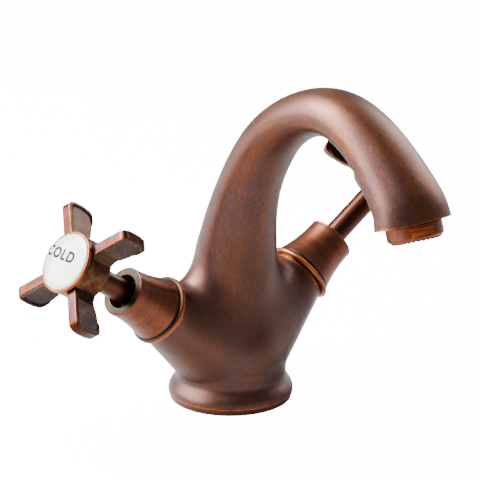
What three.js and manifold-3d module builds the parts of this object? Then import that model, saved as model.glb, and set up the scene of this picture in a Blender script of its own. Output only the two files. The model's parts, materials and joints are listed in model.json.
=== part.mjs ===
// One-hole basin mixer: a cast body with a swan-neck spout, and two rising-spindle valves with cross handles.
// Millimetres, +Z up. The origin is the centre of the base flange on the counter; the spout points to -Y,
// the cold valve is at -X and the hot valve at +X.
import * as THREE from 'three';
import { mergeVertices } from 'three/addons/utils/BufferGeometryUtils.js';
import Module from 'manifold-3d';

const wasm = await Module();
wasm.setup();

// ---- Fits and facets ----
const GAP = 0.3; // left between any two pieces that touch
const WELD = 1e-4; // points closer than this are one point
const ROUND = 28; // sides of the larger turned pieces
const SMALL_ROUND = 16; // sides of the small turned pieces
const JET_SIDES = 8;
const THROUGH = 1; // how far a cutting tool runs past the face that it opens

// ---- Base and body ----
const FLANGE = { r: 27, rimTop: 4.4, chamfer: 0.6 };
const WAIST = { r: 23.7, z: 10.8 }; // where the cove above the flange ends
const COVE_STEPS = 4;
const BASE_OVERLAP = { r: 0.5, z: 6 }; // how far the turned foot reaches into the body
const SEAL_GROOVE = { inner: 19.6, outer: 23.4, depth: 2.0 };
const SEAL_BOTTOM = 0.1; // the seal lies clear of the counter by this much

// ---- Valve arms: both axes lie in the plane y = 0 and meet on the Z axis ----
const ARM_Z = 21.1; // height where the two axes meet
const ARM_TILT = THREE.MathUtils.degToRad(33.8); // above horizontal
const ARM_END = 44.6; // distances along an arm start where the axes meet
const ARM_END_R = 13.0;
const ARM_TAPER = 0.27; // radius gained per mm towards the body
const ARM_BELLY = 10; // where the cone stops widening
const ARM_ROOT = { s: -6, r: 18 }; // buried inside the body
const VALVE_TRAVEL = 10.8; // rise of the spindle from shut to fully open

// ---- Valve chamber, along the arm ----
const CHAMBER = { r: 8.9, floor: 17 };
const SEAT = { bore: 4.2, r: 6.6, bottom: 14, top: 17.2, passageBottom: 9 };
const INLET = { x: 10, r: 4.5, top: 27 };
const STUD = { y: 14, r: 3.4, depth: 15 };
const CROSS_PORT = { z: 44, r: 4, half: 20 }; // joins both chambers to the spout's waterway

// ---- Fixed pieces of a valve, along the arm ----
const SEAT_RING = { inner: 11.7, outer: 13.3, bottom: 44.9, top: 45.2 };
const COLLAR = { back: 45.5, r: 14.9, edgeR: 14.2, crest: 46.3, front: 47.3 };
const BELL = [[13.5, 48.0], [12.9, 50.6], [12.2, 53.0], [11.3, 57.0], [10.7, 62.5]]; // radius, distance
const SHROUD_FACE = { s: 68.6, r: 10.55, corner: 0.5, hole: 7.26, thickness: 2.2 };
const SHROUD_INSIDE = { mouth: 12.2, mouthEnd: 50.6, r: 9.2, start: 56.2 };
const HEADWORK = { bottom: 34, r: 8.6, neckR: 8.2, top: 56.2 };
const HEADWORK_BORE = { thread: 5.9, threadTop: 52.1, shank: 5.25 };
const HEADWORK_HEX = { acrossFlats: 20, bottom: 45.9, top: 49.9 };
const GASKET = { inner: 8.9, outer: 11.2, bottom: 44.9, top: 45.6 };
const PACKING_BOX = { r: 6.9, floor: 53.1 };
const PACKING = { inner: 5.25, outer: 6.6, bottom: 53.4, top: 55.2 };
const GLAND_NUT = { bore: 5.3, noseR: 6.6, noseBottom: 55.5, bottom: 56.5, top: 61, acrossFlats: 15 };

// ---- Rising pieces of a valve, along the arm, with the valve shut ----
const JUMPER_WASHER = { bore: 1.7, r: 6.2, bottom: 17.8, top: 20.3 };
const JUMPER = { pinR: 1.4, bottom: 15.1, plateR: 6.2, plateBottom: 20.6, plateTop: 22.6, stemR: 2.2, top: 31 };
const WASHER_NUT = { acrossFlats: 5.4, bottom: 15.6, top: 17.5 };
const SPINDLE = { noseR: 4.6, bottom: 23, r: 4.93, shoulder: 87.7, endR: 3.6, top: 95.4 };
const SPINDLE_THREAD = { r: 5.6, bottom: 34.3, top: 41.3 };
const JUMPER_BORE = { r: 2.5, top: 32.5 };
const SCREW_BORE = { r: 2.2, bottom: 84 };
const HANDLE_SCREW = { r: 1.9, bottom: 85, headR: 4, headBottom: 96.6, top: 98.4 };

// ---- Spout: centre, half depth (in the plane x = 0) and half width (along X) at each station ----
const SPOUT_STATIONS = [
  // y, z, half depth, half width
  [0, 9, 22.5, 22.5],
  [0, 24, 24, 25],
  [-0.6, 40, 20, 25.4],
  [-2.4, 56, 16, 22.4],
  [-4.4, 70, 13.7, 19.0],
  [-7.4, 83, 12.1, 17.1],
  [-12.2, 96, 11.1, 15.6],
  [-19.2, 109, 10.6, 14.8],
  [-29.0, 121.7, 10.2, 14.3],
  [-41.5, 131.2, 9.9, 13.9],
  [-55.5, 137.1, 9.7, 13.6],
  [-69.0, 138.4, 9.5, 13.4],
  [-82.0, 134.5, 9.7, 13.6],
  [-94.0, 126.8, 10.2, 14.3],
  [-104.1, 117.0, 11.2, 15.5],
  [-109.8, 110.2, 11.8, 16.4],
  [-112, 104.5, 12.3, 17.2],
];
const SPOUT_RINGS = 36;
const SPOUT_SIDES = 24;
const WATERWAY_START = 0.2; // part of the centreline where the mixed water enters
const WATERWAY_END = 0.965;
const WATERWAY_RINGS = 18;
const WATERWAY_SIDES = 10;
const SPOUT_WALL = 3.2;

// ---- Aerator, measured down the stream from the spout's end face ----
const AERATOR = { r: 11.2, drop: 6.2, threadR: 9.8, up: 6.5, bore: 8.6, chamfer: 1.0, lip: 0.6 };
const AERATOR_FLAT = { width: 8, height: 3.3, turn: 114 }; // turn of the spanner flats, in degrees
const AERATOR_BORE_CLEAR = 2.6; // length of the outlet's bore above the housing, for the washer
const AERATOR_WASHER = { bore: 7, thickness: 1.9 };
const INSERT = { rimInner: 5.5, bottom: -3.5, top: 2.5, webR: 6, webBottom: -2.2, webTop: -0.9 };
const INSERT_JETS = { count: 8, r: 0.8, pitchR: 3.6 };
const SCREEN = { bottom: 2.8, top: 3.6 };

// ---- Handle ----
const HUB = { back: 88, front: 100.2, r: 12.7, backChamfer: 0.8, frontChamfer: 0.5 };
const HUB_BORE = { r: 3.9, top: 96.3, pocketR: 4.6 };
const BLADE = { back: 85.8, front: 100.1, tip: 30.0, root: 8, thickness: 4.6, edge: 0.5 };
const BLADE_TIP = { corner: 4, bulge: 0.9 };
const BLADE_COUNT = 4;
const COLD_BLADE_ANGLE = 41; // degrees about the valve axis, at rest
const HOT_BLADE_ANGLE = 48;
const INDEX_RING = { inner: 10.5, lip: 12.4, outer: 13.05, bottom: 100.5, floor: 101.1 };
const INDEX_RIM = { edge: 102, crest: 102.2 };
const DISC = { r: 12.1, bottom: 101.4, rim: 102, crown: 103.6 };
const DOME_STEPS = 4;

// ---- Colours ----
const COPPER = { color: 0x6b3d2c, roughness: 0.42, metalness: 0.9 };
const LIGHT_COPPER = { color: 0xa0604a, roughness: 0.35, metalness: 0.9 };
const PATINA = { color: 0x6b5c4e, roughness: 0.45, metalness: 0.8 };
const BRASS = { color: 0xb08d4c, roughness: 0.35, metalness: 0.9 };
const RUBBER = { color: 0x1c1c1c, roughness: 0.8, metalness: 0 };
const FIBRE = { color: 0x7a3b2e, roughness: 0.9, metalness: 0 };
const PORCELAIN = { color: 0xf2f2f0, roughness: 0.12, metalness: 0 };
const STEEL = { color: 0xb4b4b4, roughness: 0.3, metalness: 0.9 };
const PLASTIC = { color: 0xdddddd, roughness: 0.5, metalness: 0 };

// ---- Solids ----

// Joins or cuts need a closed solid whose shared points are one point, with no collapsed triangles.
function solidOf(geometry) {
  const bare = geometry.clone();
  bare.deleteAttribute('normal');
  bare.deleteAttribute('uv');
  const merged = mergeVertices(bare, WELD);
  const corners = merged.index.array;
  const triangles = [];
  for (let i = 0; i < corners.length; i += 3) {
    const [a, b, c] = corners.slice(i, i + 3);
    if (a !== b && b !== c && c !== a) triangles.push(a, b, c);
  }
  const vertProperties = Float32Array.from(merged.attributes.position.array);
  const triVerts = Uint32Array.from(triangles);
  return new wasm.Manifold(new wasm.Mesh({ numProp: 3, vertProperties, triVerts }));
}

function geometryOf(solid) {
  const mesh = solid.getMesh();
  const geometry = new THREE.BufferGeometry();
  geometry.setAttribute('position', new THREE.BufferAttribute(mesh.vertProperties, 3));
  geometry.setIndex(new THREE.BufferAttribute(mesh.triVerts, 1));
  return geometry;
}

function join(solids) {
  return solids.reduce((whole, next) => whole.add(next));
}

function cut(solid, tools) {
  return tools.reduce((left, tool) => left.subtract(tool), solid);
}

// A turned solid about Z. The profile is [radius, z] points, from the bottom outwards and up.
function turned(profile, sides = ROUND) {
  const closesOnAxis = profile[0][0] === 0;
  const outline = closesOnAxis ? profile : [...profile, profile[0]];
  const points = outline.map(([r, z]) => new THREE.Vector2(r, z));
  return solidOf(new THREE.LatheGeometry(points, sides).rotateX(Math.PI / 2));
}

function rod(r, bottom, top, sides = ROUND) {
  return turned([[0, bottom], [r, bottom], [r, top], [0, top]], sides);
}

function ring(inner, outer, bottom, top, sides = ROUND) {
  return turned([[inner, bottom], [outer, bottom], [outer, top], [inner, top]], sides);
}

// A hexagonal prism about Z, given by the distance across its flats.
function hexagon(acrossFlats, bottom, top) {
  const height = top - bottom;
  const corner = acrossFlats / Math.sqrt(3);
  const prism = new THREE.CylinderGeometry(corner, corner, height, 6);
  return solidOf(prism.rotateX(Math.PI / 2).translate(0, 0, bottom + height / 2));
}

function block(width, depth, height, x, y, z) {
  return solidOf(new THREE.BoxGeometry(width, depth, height).translate(x, y, z));
}

// ---- The spout's sweep ----

const centreline = new THREE.CatmullRomCurve3(
  SPOUT_STATIONS.map(([y, z]) => new THREE.Vector3(0, y, z)),
  false,
  'centripetal',
);
const sectionSizes = new THREE.CatmullRomCurve3(
  SPOUT_STATIONS.map(([, , depth, width]) => new THREE.Vector3(width, depth, 0)),
);
const SIDEWAYS = new THREE.Vector3(1, 0, 0);
const OUTLET = new THREE.Vector3(0, ...SPOUT_STATIONS.at(-1).slice(0, 2));
const STREAM = centreline.getTangent(1);

// An oval tube along the centreline: a straight capped cylinder whose rings are moved onto it.
function sweptOval(start, end, wall, rings, sides) {
  const tube = new THREE.CylinderGeometry(1, 1, 1, sides, rings);
  const place = tube.attributes.position;
  for (let i = 0; i < place.count; i += 1) {
    const t = THREE.MathUtils.lerp(start, end, place.getY(i) + 0.5);
    const size = sectionSizes.getPoint(t);
    const across = SIDEWAYS.clone().multiplyScalar((size.x - wall) * place.getX(i));
    const depth = new THREE.Vector3().crossVectors(SIDEWAYS, centreline.getTangent(t));
    const point = centreline.getPoint(t).add(across);
    point.addScaledVector(depth, (size.y - wall) * place.getZ(i));
    place.setXYZ(i, point.x, point.y, point.z);
  }
  return solidOf(tube);
}

// ---- Places ----

// Along a valve: local +Z runs out along the arm.
function onArm(side) {
  const lean = Math.PI / 2 - ARM_TILT;
  const turn = new THREE.Quaternion().setFromAxisAngle(new THREE.Vector3(0, 1, 0), side * lean);
  return new THREE.Matrix4().compose(new THREE.Vector3(0, 0, ARM_Z), turn, new THREE.Vector3(1, 1, 1));
}

// Along the stream: local +Z runs out of the spout's end face.
function onOutlet() {
  const turn = new THREE.Quaternion().setFromUnitVectors(new THREE.Vector3(0, 0, 1), STREAM);
  return new THREE.Matrix4().compose(OUTLET, turn, new THREE.Vector3(1, 1, 1));
}

function placed(solid, matrix) {
  return solid.transform(matrix.elements);
}

// ---- Naming ----

const mixer = new THREE.Group();

function add(name, solid, finish, parent = mixer) {
  const mesh = new THREE.Mesh(geometryOf(solid), new THREE.MeshStandardMaterial(finish));
  mesh.name = name;
  parent.add(mesh);
}

// ---- Body casting ----

function bodyBase() {
  const { r: rimR, rimTop, chamfer } = FLANGE;
  const profile = [[0, 0], [rimR - chamfer, 0], [rimR, chamfer], [rimR, rimTop]];
  for (let i = 1; i <= COVE_STEPS; i += 1) {
    const turn = (i / COVE_STEPS) * (Math.PI / 2);
    const r = rimR - (rimR - WAIST.r) * Math.sin(turn);
    profile.push([r, WAIST.z - (WAIST.z - rimTop) * Math.cos(turn)]);
  }
  profile.push([WAIST.r + BASE_OVERLAP.r, WAIST.z + BASE_OVERLAP.z], [0, WAIST.z + BASE_OVERLAP.z]);
  return turned(profile);
}

function armCasting() {
  const bellyR = ARM_END_R + (ARM_END - ARM_BELLY) * ARM_TAPER;
  return turned([
    [0, ARM_ROOT.s], [ARM_ROOT.r, ARM_ROOT.s], [bellyR, ARM_BELLY], [ARM_END_R, ARM_END], [0, ARM_END],
  ]);
}

function armBores() {
  return [
    rod(CHAMBER.r, CHAMBER.floor, ARM_END + THROUGH),
    rod(SEAT.r + GAP, SEAT.bottom - GAP, CHAMBER.floor + THROUGH, SMALL_ROUND),
    rod(SEAT.bore, SEAT.passageBottom, SEAT.bottom, SMALL_ROUND),
  ];
}

function bodyCasting() {
  const outside = [bodyBase(), sweptOval(0, 1, 0, SPOUT_RINGS, SPOUT_SIDES)];
  const sealGroove = ring(SEAL_GROOVE.inner, SEAL_GROOVE.outer, -THROUGH, SEAL_GROOVE.depth);
  const studSocket = rod(STUD.r, -THROUGH, STUD.depth, SMALL_ROUND).translate([0, STUD.y, 0]);
  const acrossZ = new THREE.Matrix4().makeRotationY(Math.PI / 2).setPosition(0, 0, CROSS_PORT.z);
  const inside = [
    sealGroove,
    studSocket,
    placed(rod(CROSS_PORT.r, -CROSS_PORT.half, CROSS_PORT.half, SMALL_ROUND), acrossZ),
    sweptOval(WATERWAY_START, WATERWAY_END, SPOUT_WALL, WATERWAY_RINGS, WATERWAY_SIDES),
    placed(rod(AERATOR.threadR + GAP, -AERATOR.up - AERATOR_BORE_CLEAR, THROUGH), onOutlet()),
  ];
  for (const side of [-1, 1]) {
    outside.push(placed(armCasting(), onArm(side)));
    inside.push(...armBores().map((bore) => placed(bore, onArm(side))));
    inside.push(rod(INLET.r, -THROUGH, INLET.top, SMALL_ROUND).translate([side * INLET.x, 0, 0]));
  }
  return cut(join(outside), inside);
}

// ---- Base seal ----

function baseSeal() {
  return ring(SEAL_GROOVE.inner + GAP, SEAL_GROOVE.outer - GAP, SEAL_BOTTOM, SEAL_GROOVE.depth - GAP);
}

// ---- Aerator, in the outlet's own axes ----

// A spanner flat is a block that cuts a chord of the given width off the housing's lower half.
function spannerFlat(turn) {
  const { r, drop, chamfer } = AERATOR;
  const { width, height } = AERATOR_FLAT;
  const chordAt = Math.sqrt(r ** 2 - (width / 2) ** 2);
  const reach = 2;
  const middle = drop - chamfer - height / 2;
  return block(reach, 2 * width, height, chordAt + reach / 2, 0, middle).rotate([0, 0, turn]);
}

function aeratorHousing() {
  const { r, drop, threadR, up, bore, chamfer, lip } = AERATOR;
  const lipR = r - chamfer - 0.4;
  const skirt = turned([
    [bore, -up],
    [threadR, -up],
    [threadR, 0],
    [threadR, GAP],
    [r, GAP],
    [r, drop - chamfer],
    [r - chamfer, drop],
    [lipR, drop],
    [lipR, drop + lip],
    [bore, drop + lip],
  ]);
  return cut(skirt, [AERATOR_FLAT.turn, AERATOR_FLAT.turn + 180].map(spannerFlat));
}

function aeratorInsert() {
  const wheel = ring(INSERT.rimInner, AERATOR.bore - GAP, INSERT.bottom, INSERT.top);
  const web = rod(INSERT.webR, INSERT.webBottom, INSERT.webTop);
  const jets = [];
  for (let i = 0; i < INSERT_JETS.count; i += 1) {
    const angle = (i / INSERT_JETS.count) * 2 * Math.PI;
    const place = [INSERT_JETS.pitchR * Math.cos(angle), INSERT_JETS.pitchR * Math.sin(angle), 0];
    const jet = rod(INSERT_JETS.r, INSERT.webBottom - THROUGH, INSERT.webTop + THROUGH, JET_SIDES);
    jets.push(jet.translate(place));
  }
  return cut(wheel.add(web), jets);
}

function aeratorScreen() {
  return rod(AERATOR.bore - GAP, SCREEN.bottom, SCREEN.top);
}

function aeratorWasher() {
  const top = -AERATOR.up - GAP;
  return ring(AERATOR_WASHER.bore, AERATOR.threadR, top - AERATOR_WASHER.thickness, top);
}

// ---- Fixed pieces of a valve, in its own axes ----

function shroud() {
  const faceBack = SHROUD_FACE.s - SHROUD_FACE.thickness;
  return turned([
    [SHROUD_INSIDE.mouth, COLLAR.back],
    [COLLAR.edgeR, COLLAR.back],
    [COLLAR.r, COLLAR.crest],
    [COLLAR.edgeR, COLLAR.front],
    ...BELL,
    [SHROUD_FACE.r, SHROUD_FACE.s - SHROUD_FACE.corner],
    [SHROUD_FACE.r - SHROUD_FACE.corner, SHROUD_FACE.s],
    [SHROUD_FACE.hole, SHROUD_FACE.s],
    [SHROUD_FACE.hole, faceBack],
    [SHROUD_INSIDE.r, faceBack],
    [SHROUD_INSIDE.r, SHROUD_INSIDE.start],
    [SHROUD_INSIDE.mouth, SHROUD_INSIDE.mouthEnd],
  ]);
}

function seatRing() {
  return ring(SEAT_RING.inner, SEAT_RING.outer, SEAT_RING.bottom, SEAT_RING.top);
}

function valveSeat() {
  return ring(SEAT.bore, SEAT.r, SEAT.bottom, SEAT.top, SMALL_ROUND);
}

function headwork() {
  const { bottom, r, neckR, top } = HEADWORK;
  const { thread, threadTop, shank } = HEADWORK_BORE;
  const body = turned([
    [thread, bottom],
    [r, bottom],
    [r, HEADWORK_HEX.bottom],
    [r, HEADWORK_HEX.top],
    [neckR, HEADWORK_HEX.top],
    [neckR, top],
    [PACKING_BOX.r, top],
    [PACKING_BOX.r, PACKING_BOX.floor],
    [shank, PACKING_BOX.floor],
    [shank, threadTop],
    [thread, threadTop],
  ], SMALL_ROUND);
  const hex = hexagon(HEADWORK_HEX.acrossFlats, HEADWORK_HEX.bottom, HEADWORK_HEX.top);
  const clearance = rod(neckR, HEADWORK_HEX.bottom - THROUGH, HEADWORK_HEX.top + THROUGH, SMALL_ROUND);
  return body.add(hex.subtract(clearance));
}

function headworkGasket() {
  return ring(GASKET.inner, GASKET.outer, GASKET.bottom, GASKET.top, SMALL_ROUND);
}

function glandPacking() {
  return ring(PACKING.inner, PACKING.outer, PACKING.bottom, PACKING.top, SMALL_ROUND);
}

function glandNut() {
  const { bore, noseR, noseBottom, bottom, top, acrossFlats } = GLAND_NUT;
  const nose = ring(bore, noseR, noseBottom, bottom + THROUGH / 2, SMALL_ROUND);
  const clearance = rod(bore, bottom - THROUGH, top + THROUGH, SMALL_ROUND);
  const hex = hexagon(acrossFlats, bottom, top).subtract(clearance);
  return nose.add(hex);
}

// ---- Rising pieces of a valve, drawn shut ----

function jumperWasher() {
  const { bore, r, bottom, top } = JUMPER_WASHER;
  return ring(bore, r, bottom, top, SMALL_ROUND);
}

function jumperPlate() {
  const { pinR, bottom, plateR, plateBottom, plateTop, stemR, top } = JUMPER;
  return turned([
    [0, bottom],
    [pinR, bottom],
    [pinR, plateBottom],
    [plateR, plateBottom],
    [plateR, plateTop],
    [stemR, plateTop],
    [stemR, top],
    [0, top],
  ], SMALL_ROUND);
}

function washerNut() {
  const { acrossFlats, bottom, top } = WASHER_NUT;
  const bore = rod(JUMPER_WASHER.bore, bottom - THROUGH, top + THROUGH, SMALL_ROUND);
  return hexagon(acrossFlats, bottom, top).subtract(bore);
}

function spindle() {
  const { noseR, bottom, r, shoulder, endR, top } = SPINDLE;
  const shank = turned([
    [0, bottom],
    [noseR, bottom],
    [noseR, SPINDLE_THREAD.bottom],
    [SPINDLE_THREAD.r, SPINDLE_THREAD.bottom],
    [SPINDLE_THREAD.r, SPINDLE_THREAD.top],
    [r, SPINDLE_THREAD.top],
    [r, shoulder],
    [endR, shoulder],
    [endR, top],
    [0, top],
  ], SMALL_ROUND);
  const jumperBore = rod(JUMPER_BORE.r, bottom - THROUGH, JUMPER_BORE.top, SMALL_ROUND);
  const screwBore = rod(SCREW_BORE.r, SCREW_BORE.bottom, top + THROUGH, SMALL_ROUND);
  return cut(shank, [jumperBore, screwBore]);
}

function handleScrew() {
  const { r, bottom, headR, headBottom, top } = HANDLE_SCREW;
  return turned([
    [0, bottom],
    [r, bottom],
    [r, headBottom],
    [headR, headBottom],
    [headR, top],
    [0, top],
  ], SMALL_ROUND);
}

// One blade's outline: X runs out from the valve axis, and Y runs along it towards the front.
function bladeOutline() {
  const { back, front, tip, root } = BLADE;
  const { corner, bulge } = BLADE_TIP;
  const rootBack = HUB.back + 0.4;
  const turnIn = corner * 0.7;
  const outline = new THREE.Shape();
  outline.moveTo(root, front);
  outline.lineTo(tip - turnIn, front);
  outline.quadraticCurveTo(tip - 0.2, front, tip, front - turnIn);
  outline.quadraticCurveTo(tip + bulge, (front + back) / 2, tip - 0.2, back + corner);
  outline.quadraticCurveTo(tip - 0.6, back, tip - corner, back);
  outline.lineTo(HUB.r + 2, back + 1.2);
  outline.quadraticCurveTo(HUB.r - 1.5, back + 1.4, HUB.r - 4.2, rootBack);
  outline.lineTo(root, rootBack);
  return outline;
}

// A blade is a plate that stands on the hub and holds the valve axis, with its edges chamfered.
function blade() {
  const { thickness, edge } = BLADE;
  const plate = new THREE.ExtrudeGeometry(bladeOutline(), {
    depth: thickness - 2 * edge,
    bevelThickness: edge,
    bevelSize: edge,
    bevelOffset: -edge,
    bevelSegments: 1,
    curveSegments: 4,
  });
  return solidOf(plate.translate(0, 0, -thickness / 2 + edge).rotateX(Math.PI / 2));
}

function crossHandle(firstBlade) {
  const { back, front, r, backChamfer, frontChamfer } = HUB;
  const hub = turned([
    [0, back],
    [r - backChamfer, back],
    [r, back + backChamfer],
    [r, front - frontChamfer],
    [r - frontChamfer, front],
    [0, front],
  ]);
  const blades = [];
  for (let i = 0; i < BLADE_COUNT; i += 1) {
    blades.push(blade().rotate([0, 0, firstBlade + (i * 360) / BLADE_COUNT]));
  }
  const spindleBore = rod(HUB_BORE.r, back - THROUGH, HUB_BORE.top, SMALL_ROUND);
  const screwPocket = rod(HUB_BORE.pocketR, HUB_BORE.top, front + THROUGH, SMALL_ROUND);
  return cut(join([hub, ...blades]), [spindleBore, screwPocket]);
}

function indexRing() {
  const { inner, outer, lip, bottom, floor } = INDEX_RING;
  const { edge, crest } = INDEX_RIM;
  return turned([
    [inner, bottom],
    [outer, bottom],
    [outer, edge],
    [outer - GAP, crest],
    [lip, edge],
    [lip, floor],
    [inner, floor],
  ]);
}

function indexDisc() {
  const { r, bottom, rim, crown } = DISC;
  const dome = [];
  for (let i = 0; i < DOME_STEPS; i += 1) {
    const turn = (i / DOME_STEPS) * (Math.PI / 2);
    dome.push([r * Math.cos(turn), rim + (crown - rim) * Math.sin(turn)]);
  }
  return turned([[0, bottom], [r, bottom], ...dome, [0, crown]]);
}

// ---- Assembly ----

add('body_casting', bodyCasting(), COPPER);
add('base_seal', baseSeal(), RUBBER);

const outlet = new THREE.Group();
outlet.applyMatrix4(onOutlet());
mixer.add(outlet);
add('aerator_housing', aeratorHousing(), COPPER, outlet);
add('aerator_insert', aeratorInsert(), PLASTIC, outlet);
add('aerator_screen', aeratorScreen(), STEEL, outlet);
add('aerator_washer', aeratorWasher(), RUBBER, outlet);

// A valve: its fixed pieces, and its rising pieces lifted by how far it stands open at rest.
function addValve(name, side, lift, firstBlade) {
  const arm = new THREE.Group();
  arm.applyMatrix4(onArm(side));
  mixer.add(arm);
  add(`${name}_seat`, valveSeat(), BRASS, arm);
  add(`${name}_headwork`, headwork(), BRASS, arm);
  add(`${name}_headwork_gasket`, headworkGasket(), FIBRE, arm);
  add(`${name}_gland_packing`, glandPacking(), RUBBER, arm);
  add(`${name}_gland_nut`, glandNut(), BRASS, arm);
  add(`${name}_seat_ring`, seatRing(), BRASS, arm);
  add(`${name}_shroud`, shroud(), LIGHT_COPPER, arm);

  const rising = new THREE.Group();
  rising.position.z = lift;
  arm.add(rising);
  add(`${name}_jumper_washer`, jumperWasher(), RUBBER, rising);
  add(`${name}_jumper_plate`, jumperPlate(), BRASS, rising);
  add(`${name}_washer_nut`, washerNut(), BRASS, rising);
  add(`${name}_spindle`, spindle(), COPPER, rising);
  add(`${name}_handle`, crossHandle(firstBlade), PATINA, rising);
  add(`${name}_handle_screw`, handleScrew(), STEEL, rising);
  add(`${name}_index_ring`, indexRing(), LIGHT_COPPER, rising);
  add(`${name}_index_disc`, indexDisc(), PORCELAIN, rising);
}

addValve('cold', -1, 0, COLD_BLADE_ANGLE);
addValve('hot', 1, VALVE_TRAVEL, HOT_BLADE_ANGLE);

export default mixer;
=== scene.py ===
# %% [markdown]
# # A basin mixer with a swan-neck spout
# The part is a one-hole basin mixer in antique copper. Its working model, with every seal and spindle in
# place, comes packed from CAD as a fixed frame. This script gives that frame its looks. The smooth casting,
# the turned covers and the cross handles are made again as fine meshes, each in the place the frame gives.

# %% Load the frame
import json
import math

import bmesh
import bpy
import numpy as np
from mathutils import Matrix, Vector


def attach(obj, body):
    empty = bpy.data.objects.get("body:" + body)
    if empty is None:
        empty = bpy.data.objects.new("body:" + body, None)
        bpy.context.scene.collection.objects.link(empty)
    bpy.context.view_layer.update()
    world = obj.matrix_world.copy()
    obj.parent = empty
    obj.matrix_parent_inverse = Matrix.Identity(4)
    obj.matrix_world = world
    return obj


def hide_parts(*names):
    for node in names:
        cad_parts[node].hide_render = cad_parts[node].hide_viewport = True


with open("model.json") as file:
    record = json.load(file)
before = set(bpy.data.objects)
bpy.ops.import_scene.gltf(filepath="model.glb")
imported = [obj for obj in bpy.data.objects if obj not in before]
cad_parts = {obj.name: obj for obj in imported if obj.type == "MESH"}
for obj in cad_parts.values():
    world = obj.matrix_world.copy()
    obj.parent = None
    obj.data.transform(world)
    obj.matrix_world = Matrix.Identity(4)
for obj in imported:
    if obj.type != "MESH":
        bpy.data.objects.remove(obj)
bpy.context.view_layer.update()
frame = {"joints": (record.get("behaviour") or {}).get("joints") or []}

joints = {joint["name"]: joint for joint in frame["joints"]}

# %% [markdown]
# ## The camera
# A product is drawn truly by a long lens from a metre away, because a short lens near the object swells
# whatever is closest. The camera stands to the left of the spout and looks down on it a little, and it
# aims at a point near the axis of the base, half way up. The same helper places the lights later.

# %% Camera
MM = 0.001  # the drawing below is in millimetres, and the scene is in metres
CAMERA_TURN = math.radians(-39.02)
CAMERA_RISE = math.radians(17.92)
CAMERA_DISTANCE = 1.0
CAMERA_LENS = 177.1
AIM = Vector((3.15, -2.56, 69.71)) * MM


def stand_at(obj, turn, rise, distance):
    """Stands an object at a compass turn and a rise from the aim, and points it there."""
    away = Vector((
        math.sin(turn) * math.cos(rise),
        -math.cos(turn) * math.cos(rise),
        math.sin(rise),
    ))
    obj.location = AIM + away * distance
    obj.rotation_euler = (-away).to_track_quat("-Z", "Y").to_euler()


camera = bpy.data.objects.new("camera", bpy.data.cameras.new("camera"))
bpy.context.scene.collection.objects.link(camera)
stand_at(camera, CAMERA_TURN, CAMERA_RISE, CAMERA_DISTANCE)
camera.data.lens = CAMERA_LENS
camera.data.clip_end = 20
bpy.context.scene.camera = camera
print("camera at", [round(v, 3) for v in camera.location])

# %% [markdown]
# ## The valve axes
# The two arms tilt upward to left and right. Every turned piece of a valve is drawn upright on its own Z
# axis, with heights counted from the point where the two arms meet, and is then laid along its arm. The
# frame's joints say where that point is, which way each arm runs and how far each spindle stands open.

# %% Arm placement
SIDES = ("cold", "hot")


def arm_matrix(side):
    """Lays a piece drawn upright along the arm of that side."""
    joint = joints[f"{side}_turn"]
    lean = math.atan2(joint["axis"][0], joint["axis"][2])
    place = Vector(joint["pos_m"]) / MM
    return Matrix.Translation(place) @ Matrix.Rotation(lean, 4, "Y")


def rest_lift(side):
    """How far the spindle of that side stands above shut, at rest."""
    return -joints[f"{side}_rise"]["range_m"][0] / MM


arm = {side: arm_matrix(side) for side in SIDES}
lift = {side: Matrix.Translation((0, 0, rest_lift(side))) for side in SIDES}
print("lifts", {side: round(rest_lift(side), 2) for side in SIDES})

# %% [markdown]
# ## Small helpers for meshes
# A turned piece is a profile spun round its axis, as a lathe does it. The helper spins an outline of
# (radius, height) points, merges the seam and turns the faces outwards. Another makes an object from a
# mesh drawn in millimetres, and puts its place into its points, so that the object stays at the origin.

# %% Mesh helpers
TURN_STEPS = 96


def spun(bm, outline, steps=TURN_STEPS):
    """Spins a closed outline of (radius, height) points round Z."""
    points = [bm.verts.new((r, 0, z)) for r, z in outline]
    edges = [bm.edges.new((a, b)) for a, b in zip(points, points[1:])]
    on_axis = outline[0][0] == 0 and outline[-1][0] == 0
    if not on_axis:
        edges.append(bm.edges.new((points[-1], points[0])))
    bmesh.ops.spin(
        bm, geom=points + edges, cent=(0, 0, 0), axis=(0, 0, 1),
        angle=2 * math.pi, steps=steps, use_merge=True, use_duplicate=False,
    )
    bmesh.ops.remove_doubles(bm, verts=bm.verts, dist=1e-4)
    bmesh.ops.recalc_face_normals(bm, faces=bm.faces)


def mesh_from(bm, name):
    mesh = bpy.data.meshes.new(name)
    bm.to_mesh(mesh)
    bm.free()
    return mesh


def piece(name, mesh, place=Matrix.Identity(4)):
    """An object at the origin whose mesh, drawn in millimetres, is moved to its place in metres."""
    mesh.transform(Matrix.Scale(MM, 4) @ place)
    obj = bpy.data.objects.new(name, mesh)
    bpy.context.scene.collection.objects.link(obj)
    return obj


def modified(obj):
    """Works an object's modifiers into its mesh."""
    depsgraph = bpy.context.evaluated_depsgraph_get()
    made = bpy.data.meshes.new_from_object(obj.evaluated_get(depsgraph))
    old = obj.data
    obj.modifiers.clear()
    obj.data = made
    bpy.data.meshes.remove(old)


def smooth_shaded(obj, angle=None):
    """Smooth shading, with edges sharper than the angle kept sharp."""
    obj.data.shade_smooth()
    if angle is not None:
        obj.data.set_sharp_from_angle(angle=math.radians(angle))


def voxel_union(obj, size, smoothing):
    """Melts overlapping closed shells into one skin, then relaxes it as tumbling does a casting."""
    remesh = obj.modifiers.new("union", "REMESH")
    remesh.mode = "VOXEL"
    remesh.voxel_size = size * MM
    relax = obj.modifiers.new("relax", "SMOOTH")
    relax.factor = 0.5
    relax.iterations = smoothing
    modified(obj)


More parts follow.
